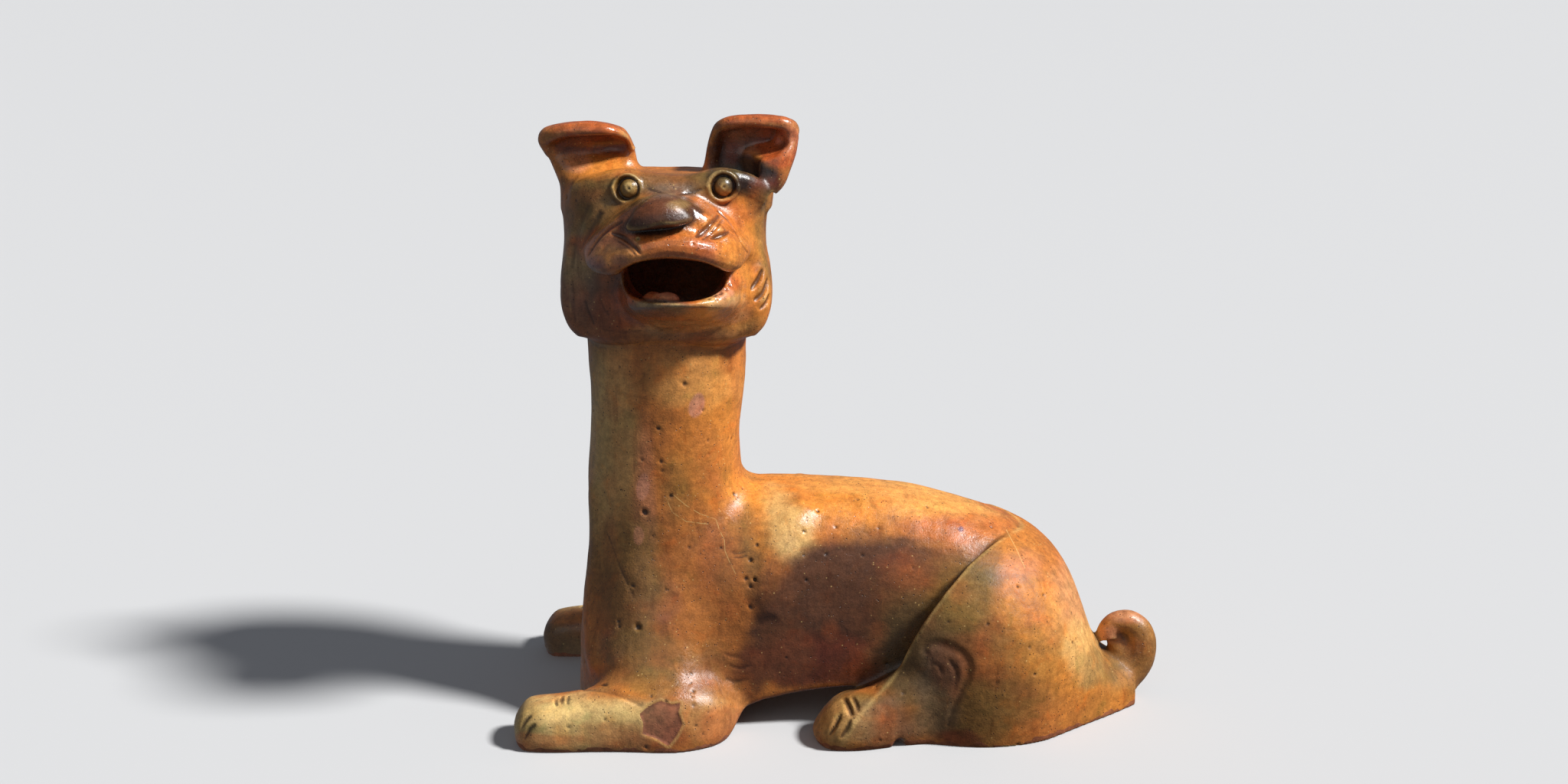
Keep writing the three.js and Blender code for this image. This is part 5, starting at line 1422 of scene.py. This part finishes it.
    def tone(self, points: Array, bulge: Array, wide_bulge: Array, head: bool) -> Array:
        """The colour of each of some points of the skin.

        Args:
            points: the points.
            bulge: how much the skin bulges there at the scale of an edge.
            wide_bulge: how much it bulges at the scale of a finger.
            head: whether the points belong to the head, whose two sides differ.

        Returns:
            A colour for each point, as light.
        """
        seen = points.copy()
        if not head:
            seen[:, 1] = -np.abs(seen[:, 1])
        x, y = self.sight.project(seen)
        waver = 0.36 * Drift(15.0, 31).at(points) + 0.2 * Drift(6.0, 32).at(points)
        waver += 0.25 * Drift(4.0, 40).at(points * np.array([0.2, 1.0, 1.0]))
        coat = Coat(points, waver, Tint.AMBER)
        coat.drift(self.under)
        if head:
            self.paint_head(coat, x, y)
        else:
            self.paint_body(coat, x, y)
        coat.drift(self.over)
        # Edges wear pale, and creases and hollows fill with dark glaze
        patchy = np.clip(0.5 + 0.9 * Drift(4.0, 38).at(points), 0.1, 1)
        coat.lay(Tint.STRAW, np.clip(bulge - 0.3, 0, 0.5) * patchy)
        coat.lay(Tint.SOOT, np.clip((-bulge - 0.14) * 0.9, 0, 0.6))
        coat.lay(Tint.SOOT, np.clip((-wide_bulge - 0.2) * 0.6, 0, 0.45))
        return coat.tint

    def paint_head(self, coat: Coat, x: Array, y: Array) -> None:
        """Paints the face on what faces forwards, rings the eyes and paints the ears."""
        points = coat.points
        facing = below(points[:, 1], -4.0, 20.0)
        for daub in self.face:
            coat.daub(daub, x, y, facing)
        fray = unit(0.6 + Drift(5.0, 43).at(points))
        for eye_x, eye_y, reach in self.lids:
            away = np.hypot(x - eye_x, (y - eye_y) * 1.06) - reach
            coat.lay(Tint.STRAW, 0.5 * fading(away, 1.4) * fray * facing)
        high = unit((points[:, 2] - 262.0) / 8.0) * below(points[:, 1], 2.0, 8.0)
        for daub in self.ears:
            coat.daub(daub, x, y, high)

    def paint_body(self, coat: Coat, x: Array, y: Array) -> None:
        """Paints both flanks alike, with painted shade on the near flank only, then painted shade on the far
        foreleg, the chip's rim and the thighs' edges.
        """
        points = coat.points
        near = below(points[:, 1], 8.0, 8.0)
        for daub in self.body:
            # Painted shade patches lie on the near flank only
            coat.daub(daub, x, y, near if isinstance(daub, ShadePatch) else 1.0)
        x, y = self.sight.project(points)
        for daub in self.far:
            coat.daub(daub, x, y, points[:, 1] > 20)
        rim = fading(within(Carving.chip, x, y) - 1.4, 1.6)
        coat.lay(Tint.STRAW, 0.6 * rim * (points[:, 1] < -20) * unit(0.5 + 1.2 * coat.waver))
        rim = fading(self.thighs.ahead(*points.T) + 1.0, 1.2)
        coat.lay(Tint.STRAW, 0.55 * rim * (0.6 + 0.4 * Drift(6.0, 39).at(points)))

    def bare(self, points: Array) -> Array:
        """Where the clay has no glaze: along the foot and in the chip."""
        waver = Drift(7.0, 41).at(points) + 0.6 * Drift(2.5, 42).at(points)
        foot = below(points[:, 2], 3.0 + 2.2 * waver, 1.6)
        flaked = unit(-within(Carving.chip, *self.sight.project(points)) / 2.0) * (points[:, 1] < -20)
        return np.maximum(foot, flaked)

    def crack(self, points: Array) -> tuple[Array, Array]:
        """How far points lie to one side of the nearest hairline, and whether they are near it."""
        x, y = self.sight.project(points)
        best, side = np.full((2, len(points)), 9.0)
        for line in self.hairlines:
            for (ax, ay), (bx, by) in zip(line, line[1:]):
                length = math.hypot(bx - ax, by - ay)
                along = ((x - ax) * (bx - ax) + (y - ay) * (by - ay)) / length
                across = ((x - ax) * (by - ay) - (y - ay) * (bx - ax)) / length
                past = np.maximum(np.maximum(-along, along - length), 0)
                away = np.hypot(past, across) * PICTURE_STEP
                nearer = (away < best) & (points[:, 1] < 5)
                best = np.where(nearer, away, best)
                side = np.where(nearer, across * PICTURE_STEP, side)
        return np.clip(side, -3, 3), (best < self.crack_reach).astype(np.float32)


# Finishes


class Finish:
    """A material under construction: its nodes, and the surface's own coordinates in millimetres."""

    def __init__(self, name: str) -> None:
        """Starts a material with one shader."""
        self.material = bpy.data.materials.new(name)
        self.material.use_nodes = True
        self.nodes = self.material.node_tree.nodes
        self.shader = self.nodes["Principled BSDF"]
        place = self.nodes.new("ShaderNodeTexCoord")
        scale = self.nodes.new("ShaderNodeMapping")
        scale.inputs["Scale"].default_value = (1 / MILLIMETRE,) * 3
        self.link(place.outputs["Object"], scale.inputs["Vector"])
        self.place = scale.outputs["Vector"]

    def link(self, source: Socket, target: Socket) -> None:
        """Joins two sockets."""
        self.material.node_tree.links.new(source, target)

    def attribute(self, name: str, output: str = "Fac") -> Socket:
        """What is painted on the skin under a name."""
        node = self.nodes.new("ShaderNodeAttribute")
        node.attribute_name = name
        return node.outputs[output]

    def stretched(self, scale: Point) -> Socket:
        """The coordinates, drawn out along one way."""
        node = self.nodes.new("ShaderNodeMapping")
        node.inputs["Scale"].default_value = scale
        self.link(self.place, node.inputs["Vector"])
        return node.outputs["Vector"]

    def noise(self, spacing: float, detail: float = 3.0, warp: float = 0.0, place: Socket | None = None) -> Socket:
        """Clouds whose swellings are so many millimetres apart."""
        node = self.nodes.new("ShaderNodeTexNoise")
        node.inputs["Scale"].default_value = 1 / spacing
        node.inputs["Detail"].default_value = detail
        node.inputs["Roughness"].default_value = 0.6
        node.inputs["Distortion"].default_value = warp
        self.link(place or self.place, node.inputs["Vector"])
        return node.outputs["Fac"]

    def cells(self, spacing: float, edges: bool = False) -> Socket:
        """The distance to the middles or the edges of cells of a size in millimetres."""
        node = self.nodes.new("ShaderNodeTexVoronoi")
        node.feature = "DISTANCE_TO_EDGE" if edges else "F1"
        node.inputs["Scale"].default_value = 1 / spacing
        self.link(self.place, node.inputs["Vector"])
        return node.outputs["Distance"]

    def ramp(self, source: Socket, start: float, end: float, low: float = 0.0, high: float = 1.0) -> Socket:
        """A smooth change from low to high while the source goes from start to end."""
        node = self.nodes.new("ShaderNodeMapRange")
        node.interpolation_type = "SMOOTHSTEP"
        self.link(source, node.inputs["Value"])
        for label, value in (("From Min", start), ("From Max", end), ("To Min", low), ("To Max", high)):
            node.inputs[label].default_value = value
        return node.outputs["Result"]

    def math(self, operation: str, a: Socket | float, b: Socket | float = 0.0) -> Socket:
        """Arithmetic on two values."""
        node = self.nodes.new("ShaderNodeMath")
        node.operation = operation
        for socket, value in zip(node.inputs, (a, b)):
            if isinstance(value, Socket):
                self.link(value, socket)
            else:
                socket.default_value = value
        return node.outputs[0]

    def mix(self, factor: Socket, under: Socket, over: Socket | Sequence[float], blend: str = "MIX") -> Socket:
        """One colour laid over another."""
        node = self.nodes.new("ShaderNodeMix")
        node.data_type, node.blend_type = "RGBA", blend
        self.link(factor, node.inputs["Factor"])
        self.link(under, node.inputs[6])
        if isinstance(over, Socket):
            self.link(over, node.inputs[7])
        else:
            node.inputs[7].default_value = (*(float(v) for v in over), 1.0)
        return node.outputs[2]

    def cover(self, colour: Socket, place: Socket, strength: float, tint: Tint) -> Socket:
        """A colour with a tint laid over it, as strongly as the place says."""
        return self.mix(self.math("MULTIPLY", place, strength), colour, tint.linear())

    def bump(self, height: Socket, depth: float, under: Socket | None = None, strength: float = 1.0) -> Socket:
        """A relief of a depth in millimetres."""
        node = self.nodes.new("ShaderNodeBump")
        node.inputs["Distance"].default_value = depth * MILLIMETRE
        node.inputs["Strength"].default_value = strength
        self.link(height, node.inputs["Height"])
        if under:
            self.link(under, node.inputs["Normal"])
        return node.outputs["Normal"]


@dataclass(frozen=True)
class Glaze:
    """A lead glaze over red clay: how it mottles, pools, runs, crazes and breaks."""

    name: str
    warm: Point = (1.12, 0.9, 0.72)
    cool: Point = (0.8, 0.9, 0.86)
    mottle: float = 0.14
    warmth: float = 0.8
    coolness: float = 0.8
    specks: float = 0.8
    gloss: float = 0.27
    dullness: float = 0.42
    sheen: float = 0.5

    def build(self) -> bpy.types.Material:
        """The finish as a material that reads what is painted on the skin."""
        f = Finish(self.name)
        mottle, grain, patch = f.noise(3.6, 5.0, 0.3), f.noise(0.8, 3.0), f.noise(17.0, 3.0, 0.8)
        holes = self.spots(f, 2.0, (0.2, 0.13), (4.2, 2.0), (0.5, 0.58))
        bare = f.ramp(f.math("ADD", f.attribute("bare"), f.ramp(mottle, 0.3, 0.7, -0.25, 0.25)), 0.42, 0.62)
        colour = self.flowed(f, mottle, grain)
        colour = self.marked(f, colour, holes, patch)
        colour = self.worn(f, colour, mottle, bare)
        f.link(colour, f.shader.inputs["Base Color"])

        rough = f.ramp(patch, 0.3, 0.7, self.gloss, self.dullness)
        rough = f.math("ADD", rough, f.ramp(grain, 0.3, 0.7, -0.05, 0.07))
        rough = f.math("ADD", rough, f.math("MULTIPLY", bare, 0.5))
        f.link(rough, f.shader.inputs["Roughness"])
        f.shader.inputs["IOR"].default_value = 1.55
        f.shader.inputs["Specular IOR Level"].default_value = self.sheen

        normal = f.bump(mottle, 0.6, None, 0.4)
        normal = f.bump(grain, 0.2, normal, 0.5)
        normal = f.bump(f.math("SUBTRACT", 1.0, holes), 0.3, normal, 0.6)
        f.link(normal, f.shader.inputs["Normal"])
        return f.material

    def flowed(self, f: Finish, mottle: Socket, grain: Socket) -> Socket:
        """The painted colour, with warm and cool clouds, runs down the skin and mottling."""
        cloud = f.noise(11.0, 4.0, 0.5)
        run = f.noise(5.0, 3.0, 0.4, f.stretched((1.0, 1.0, 0.16)))
        smear = f.noise(4.0, 4.0, 0.6, f.stretched((0.16, 1.0, 1.0)))
        colour = f.attribute("tone", "Color")
        for factor, tint in (
            (f.ramp(cloud, 0.52, 0.72, 0.0, self.warmth), self.warm),
            (f.ramp(cloud, 0.46, 0.28, 0.0, self.coolness), self.cool),
            (f.ramp(run, 0.54, 0.7), (1.14, 1.12, 1.06)),
            (f.ramp(run, 0.46, 0.3), (0.8, 0.76, 0.74)),
        ):
            colour = f.mix(factor, colour, tint, "MULTIPLY")
        shade = f.ramp(mottle, 0.3, 0.7, 1.0 - self.mottle, 1.0 + self.mottle)
        shade = f.math("MULTIPLY", shade, f.ramp(grain, 0.25, 0.75, 0.84, 1.14))
        shade = f.math("MULTIPLY", shade, f.ramp(smear, 0.35, 0.65, 0.93, 1.06))
        return self.scale(f, colour, shade)

    def marked(self, f: Finish, colour: Socket, holes: Socket, patch: Socket) -> Socket:
        """A colour with specks, pinholes, flecks, crazing and the hairline cracks."""
        specks = self.spots(f, 1.15, (0.22, 0.14), (9.0, 3.0), (0.46, 0.6))
        flecks = self.spots(f, 2.9, (0.15, 0.09), (5.3, 2.0), (0.52, 0.6))
        crazing = f.math("MULTIPLY", f.ramp(f.cells(2.4, True), 0.045, 0.01), f.ramp(patch, 0.5, 0.62))
        crack = f.ramp(f.math("ABSOLUTE", f.attribute("crack")), 0.24, 0.08)
        crack = f.math("MULTIPLY", crack, f.ramp(f.attribute("near_crack"), 0.6, 0.95))
        crack = f.math("MULTIPLY", crack, f.ramp(f.noise(6.0, 2.0), 0.36, 0.5))
        for place, strength, tint in (
            (specks, 0.5 * self.specks, Tint.SOOT),
            (holes, self.specks, Tint.SOOT),
            (flecks, 0.6, Tint.STRAW),
            (crazing, 0.22, Tint.SOOT),
            (crack, 0.55, Tint.STRAW),
        ):
            colour = f.cover(colour, place, strength, tint)
        return colour

    def worn(self, f: Finish, colour: Socket, mottle: Socket, bare: Socket) -> Socket:
        """A colour with the red clay where the glaze is gone."""
        clay = f.nodes.new("ShaderNodeRGB")
        clay.outputs[0].default_value = (*(float(v) for v in Tint.CLAY.linear()), 1.0)
        clay = self.scale(f, clay.outputs[0], f.ramp(mottle, 0.3, 0.7, 0.35, 0.8))
        return f.mix(f.math("MULTIPLY", bare, 0.85), colour, clay)

    @staticmethod
    def spots(f: Finish, size: float, edge: Pair, spread: Pair, where: Pair) -> Socket:
        """Round spots in cells of a size in millimetres, in some places only.

        Args:
            f: the material under construction.
            size: how far apart the spots may stand.
            edge: the distances from a spot's middle at which it begins and is full.
            spread: the spacing and detail of the clouds that choose the places.
            where: how high the clouds are where spots begin and are full.

        Returns:
            How strongly the spots show.
        """
        return f.math("MULTIPLY", f.ramp(f.cells(size), *edge), f.ramp(f.noise(*spread), *where))

    @staticmethod
    def scale(f: Finish, colour: Socket, shade: Socket) -> Socket:
        """A colour made lighter or darker."""
        node = f.nodes.new("ShaderNodeVectorMath")
        node.operation = "SCALE"
        f.link(colour, node.inputs[0])
        f.link(shade, node.inputs["Scale"])
        return node.outputs[0]


GLAZES: dict[Slot, Glaze] = {
    Slot.AMBER: Glaze("amber_lead_glaze", mottle=0.18),
    Slot.RUSSET: Glaze("russet_lead_glaze", warmth=0.95, mottle=0.24, gloss=0.16, dullness=0.28, sheen=0.65),
    Slot.OLIVE: Glaze("olive_lead_glaze", coolness=0.95, mottle=0.18, gloss=0.4, dullness=0.54, sheen=0.22),
    Slot.STRAW: Glaze("straw_lead_glaze", coolness=0.9, warmth=0.7),
    Slot.CLAY: Glaze("bare_red_clay", gloss=0.6, dullness=0.8, specks=0.4),
}


# The whole figure


@dataclass
class Figure:
    """The dog: models it on two blocks, parts it along the CAD's joints and dresses the pieces."""

    body_cell: float = 0.85
    head_cell: float = 0.62
    hollow_cell: float = 2.2
    joint_cell: float = 2.0
    pinhole_density: float = 0.001  # for each square millimetre
    pinhole_sizes: Pair = (0.5, 0.98)
    kneading: Rows = ((30.0, 0.5, 11), (11.0, 0.2, 12), (5.0, 0.09, 13))  # spacing, depth and seed
    neck_break: float = 100.0  # a block that begins above this height holds the head
    quick_cell: float = 1.7  # how much coarser the clay is in a quick try
    joint_reach: float = 16.0  # how far from each node the distance to it is measured
    joint_space: float = 9.0  # how far out of the CAD's solids the space of a node goes
    skin_depth: float = 0.35  # in cells: what lies deeper under the skin is the hollow's wall
    sharp: float = 50.0  # degrees, from which two faces meet in an edge
    agreement: float = 0.75  # how nearly a corner's direction must be the clay's to take it over
    edge_scale: float = 1.1
    finger_scale: float = 3.2
    head_nodes: tuple[str, ...] = (
        "eye_left", "eye_right", "nose", "tongue", "ear_left", "ear_right", "cheek_ruff_left", "cheek_ruff_right",
        "lower_jaw", "muzzle", "head_shell",
    )
    body_nodes: tuple[str, ...] = (
        "tail", "hind_foot_left", "hind_foot_right", "foreleg_left", "foreleg_right", "thigh_left", "thigh_right",
        "trunk_right_half", "trunk_left_half", "neck_column",
    )
    seam_nodes: tuple[str, ...] = (
        "neck_column", "head_shell", "lower_jaw", "cheek_ruff_left", "cheek_ruff_right", "trunk_left_half",
    )

    def __post_init__(self) -> None:
        """Gets out the tools and the parts."""
        self.roller = StrandTool()
        self.pinholes = PinholeTool()
        self.sight = Sight()
        self.barrel, self.neck, self.legs, self.thighs, self.tail = Barrel(), Neck(), Legs(), Thighs(), Tail()
        self.head, self.face, self.ears, self.ruffs = Head(), Face(), Ears(), Ruffs()
        self.carving, self.painter = Carving(), Painter(self.sight, self.thighs)
        self.slots = {part["node"]: Slot(part["material_slot"]) for part in frame["record"]["subparts"]}

    def model(self, clay: ClayBlock) -> None:
        """Builds the figure on a block, whichever part of it the block holds."""
        self.neck.model(clay)
        self.barrel.model(clay)
        self.thighs.model(clay)
        self.barrel.cut_arch(clay)
        self.legs.model(clay)
        self.tail.model(clay, self.roller)
        for part in (self.head, self.ears, self.ruffs, self.face):
            part.model(clay, self.roller)
        self.face.open_mouth(clay, self.roller)
        on_head = clay.low[2] > self.neck_break
        for spacing, depth, seed in self.kneading:
            clay.knead(spacing, depth, seed)
        self.sight.learn(clay.skin(2))
        if on_head:
            self.face.set_eyes(clay, self.roller, self.sight)
            self.carving.pierce(clay, self.sight, self.carving.nicks)
        else:
            self.carving.raise_ridges(clay, self.roller, self.sight)
            self.carving.flake(clay, self.sight)
            self.carving.pierce(clay, self.sight, self.carving.pits)
            clay.cut(self.pinholes.strew(clay.skin(3), self.pinhole_density, *self.pinhole_sizes, 14), blend=0.5)
        self.carving.incise(clay, self.roller, self.sight, self.carving.head if on_head else self.carving.body)
        clay.trim(*CLAY_BOX)
        clay.close()

    def hollow(self) -> Form:
        """The open inside of the neck, trunk and head."""
        block = ClayBlock((-60.0, -50.0, -12.0), (222.0, 50.0, 284.0), self.hollow_cell)
        for part in (self.neck, self.barrel, self.head):
            block.add(part.skin(), blend=4.0, grow=-part.wall)
        block.close()
        return block.skin()

    def joints(self) -> dict[str, Form]:
        """The space that belongs to each CAD node: all that lies nearer to it than to another."""
        corners = (-92.0, -88.0, -14.0), (264.0, 88.0, 316.0)
        found = {}
        for name, node in frame["nodes"].items():
            form = form_of_mesh(node.data)
            block = ClayBlock(*corners, self.joint_cell)
            block.far = self.joint_reach
            block.field.fill(block.far)
            block.add(Form(form.points / MILLIMETRE - SHIFT, form.quads, form.triangles), blend=block.far)
            found[name] = block.field
        stack = np.stack(list(found.values()))
        nearest, second = np.sort(stack, axis=0)[:2]
        spaces = {}
        for name, distance in zip(found, stack):
            others = np.where(distance <= nearest, second, nearest)
            block = ClayBlock(*corners, self.joint_cell)
            block.field = np.maximum(distance - others, nearest - self.joint_space).astype(np.float32)
            block.close()
            spaces[name] = block.skin()
        return spaces

    def part(
        self, block: ClayBlock, names: Sequence[str], others: Sequence[str], spaces: dict[str, Form], hollow: Form
    ) -> dict[str, bpy.types.Mesh]:
        """Parts a block's skin into the pieces that stand for some nodes.

        Args:
            block: the modelled clay.
            names: the nodes to make pieces for.
            others: nodes of the other block whose space is taken off first.
            spaces: the space that belongs to each node.
            hollow: the open inside of the figure.

        Returns:
            A closed mesh for each name.
        """
        work = put_in_scene("work", mesh_of_form("work", block.skin()))
        tool = put_in_scene("tool", mesh_of_form("tool", hollow))

        def boolean(operation: str) -> bpy.types.Mesh:
            """The work with the tool taken out of it, or kept where they meet."""
            modifier = work.modifiers.new("cut", "BOOLEAN")
            modifier.object, modifier.operation, modifier.solver = tool, operation, "MANIFOLD"
            made = finished_mesh(work)
            work.modifiers.remove(modifier)
            return made

        work.data = boolean("DIFFERENCE")
        for name in others:
            tool.data = mesh_of_form("tool", spaces[name])
            work.data = boolean("DIFFERENCE")
        pieces = {}
        for name in names[:-1]:
            tool.data = mesh_of_form("tool", spaces[name])
            pieces[name] = boolean("INTERSECT")
            work.data = boolean("DIFFERENCE")
        pieces[names[-1]] = work.data.copy()
        for name, mesh in pieces.items():
            mesh.name = name
        bpy.data.objects.remove(work)
        bpy.data.objects.remove(tool)
        return pieces

    def finish_piece(
        self, name: str, mesh: bpy.types.Mesh, block: ClayBlock, finishes: dict[Slot, bpy.types.Material]
    ) -> None:
        """Shades, paints and places a piece, and says what it stands for."""
        points = form_of_mesh(mesh).points
        inside = np.abs(block.read(points)) > self.skin_depth * block.cell
        corners = self.directions(mesh, block.normals(points), inside)
        bulge, wide = block.bulge(points, self.edge_scale), block.bulge(points, self.finger_scale)
        bulge[inside] = wide[inside] = 0
        self.paint(mesh, points, self.painter.tone(points, bulge, wide, name in self.head_nodes))
        placed = ((points + SHIFT) * MILLIMETRE).astype(np.float32)
        mesh.vertices.foreach_set("co", placed.ravel())
        mesh.normals_split_custom_set(corners.tolist())
        mesh.materials.clear()
        slot = self.slots[name]
        mesh.materials.append(finishes[slot])
        mesh.update()
        piece = put_in_scene(f"glazed_{name}", mesh)
        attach(piece, "root")
        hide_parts(name)
        log.info("%s: %d faces", piece.name, len(mesh.polygons))

    def directions(self, mesh: bpy.types.Mesh, out: Array, inside: Array) -> Array:
        """The shading directions of a mesh's corners, taken from the clay where they nearly agree.

        Args:
            mesh: the piece, which is made smooth up to its sharp edges.
            out: the clay's own direction at each point.
            inside: which points lie in the hollow's wall, where the clay tells nothing.

        Returns:
            A direction for each corner.
        """
        mesh.shade_smooth()
        mesh.set_sharp_from_angle(angle=math.radians(self.sharp))
        corners = np.empty(len(mesh.loops) * 3, np.float32)
        mesh.corner_normals.foreach_get("vector", corners)
        corners = corners.reshape(-1, 3)
        owner = np.empty(len(mesh.loops), np.int32)
        mesh.loops.foreach_get("vertex_index", owner)
        agree = np.einsum("ij,ij->i", corners, out[owner]) > self.agreement
        use = agree & ~inside[owner]
        corners[use] = out[owner][use]
        return corners

    def paint(self, mesh: bpy.types.Mesh, points: Array, tone: Array) -> None:
        """Writes onto a mesh what the glaze reads: colour, bare clay and hairlines."""
        colour = np.concatenate([tone, np.ones((len(points), 1), np.float32)], 1)
        mesh.attributes.new("tone", "FLOAT_COLOR", "POINT").data.foreach_set("color", colour.ravel())
        crack, near = self.painter.crack(points)
        for label, values in (("bare", self.painter.bare(points)), ("crack", crack), ("near_crack", near)):
            mesh.attributes.new(label, "FLOAT", "POINT").data.foreach_set("value", values.astype(np.float32))

    def build(self) -> None:
        """Models, parts and dresses the whole figure."""
        coarse = 1.0
        body = ClayBlock((-80.0, -76.0, -4.0), (256.0, 78.0, 214.0), self.body_cell * coarse)
        head = ClayBlock((-64.0, -86.0, 184.0), (70.0, 52.0, 304.0), self.head_cell * coarse)
        finishes = {slot: glaze.build() for slot, glaze in GLAZES.items()}
        hollow, spaces = self.hollow(), self.joints()
        rounds = ((head, self.head_nodes, self.body_nodes), (body, self.body_nodes, self.head_nodes))
        for block, names, others in rounds:
            self.model(block)
            log.info("block of %d cells modelled", block.field.size)
            touching = [other for other in others if other in self.seam_nodes]
            for name, mesh in self.part(block, names, touching, spaces, hollow).items():
                self.finish_piece(name, mesh, block, finishes)


# The studio


@dataclass
class Studio:
    """A plain pale floor, soft lamps and the camera, at the viewer's place."""

    clip: Pair = (0.05, 50.0)
    floor_reach: float = 24.0
    floor_tone: Row = (0.6, 0.6, 0.6, 1.0)
    sky_tone: Row = (0.76, 0.82, 0.95, 1.0)
    sky_strength: float = 0.16
    lights: tuple[tuple[str, float, float, float, float], ...] = (
        ("key", -17.0, 46.0, 9.0, 4.9), ("fill", -110.0, 30.0, 50.0, 0.2),
    )

    def build(self) -> None:
        """Sets up floor, light and camera, which stands where the figure is looked at from."""
        bpy.context.scene.view_settings.view_transform = "Standard"
        self.floor()
        self.lamps()
        camera = bpy.data.cameras.new("camera")
        camera.sensor_width = 36.0
        camera.lens = camera.sensor_width * Sight.focal / (2 * Sight.middle[0])
        camera.clip_start, camera.clip_end = self.clip
        holder = put_in_scene("camera", camera)
        holder.location = Vector((np.array(Sight.eye) + SHIFT) * MILLIMETRE)
        holder.rotation_euler = (math.radians(90 - Sight.pitch), 0.0, 0.0)
        bpy.context.scene.camera = holder

    def floor(self) -> None:
        """Lays the floor and lights the world."""
        mesh = bpy.data.meshes.new("floor")
        corners = [(x * self.floor_reach, y * self.floor_reach, 0) for x, y in ((-1, -1), (1, -1), (1, 1), (-1, 1))]
        mesh.from_pydata(corners, [], [(0, 1, 2, 3)])
        floor = put_in_scene("floor", mesh)
        material = bpy.data.materials.new("pale_floor")
        material.use_nodes = True
        shader = material.node_tree.nodes["Principled BSDF"]
        shader.inputs["Base Color"].default_value = self.floor_tone
        shader.inputs["Roughness"].default_value = 0.9
        mesh.materials.append(material)
        floor.visible_diffuse = floor.visible_glossy = False
        world = bpy.data.worlds.new("studio")
        world.use_nodes = True
        background = world.node_tree.nodes["Background"]
        background.inputs["Color"].default_value = self.sky_tone
        background.inputs["Strength"].default_value = self.sky_strength
        bpy.context.scene.world = world

    def lamps(self) -> None:
        """Sets distant lamps, from name, azimuth, elevation, breadth and power."""
        for name, azimuth, elevation, breadth, power in self.lights:
            lamp = bpy.data.lights.new(name, "SUN")
            lamp.angle, lamp.energy = math.radians(breadth), power
            a, e = math.radians(azimuth), math.radians(elevation)
            way = Vector((math.cos(a) * math.cos(e), math.sin(a) * math.cos(e), math.sin(e)))
            put_in_scene(name, lamp).rotation_euler = way.to_track_quat("Z", "Y").to_euler()


def main() -> None:
    """Builds the figure and the studio."""
    logging.basicConfig(level=logging.INFO, format="%(relativeCreated)6d %(message)s")
    Studio().build()
    Figure().build()


if __name__ == "__main__":
    main()
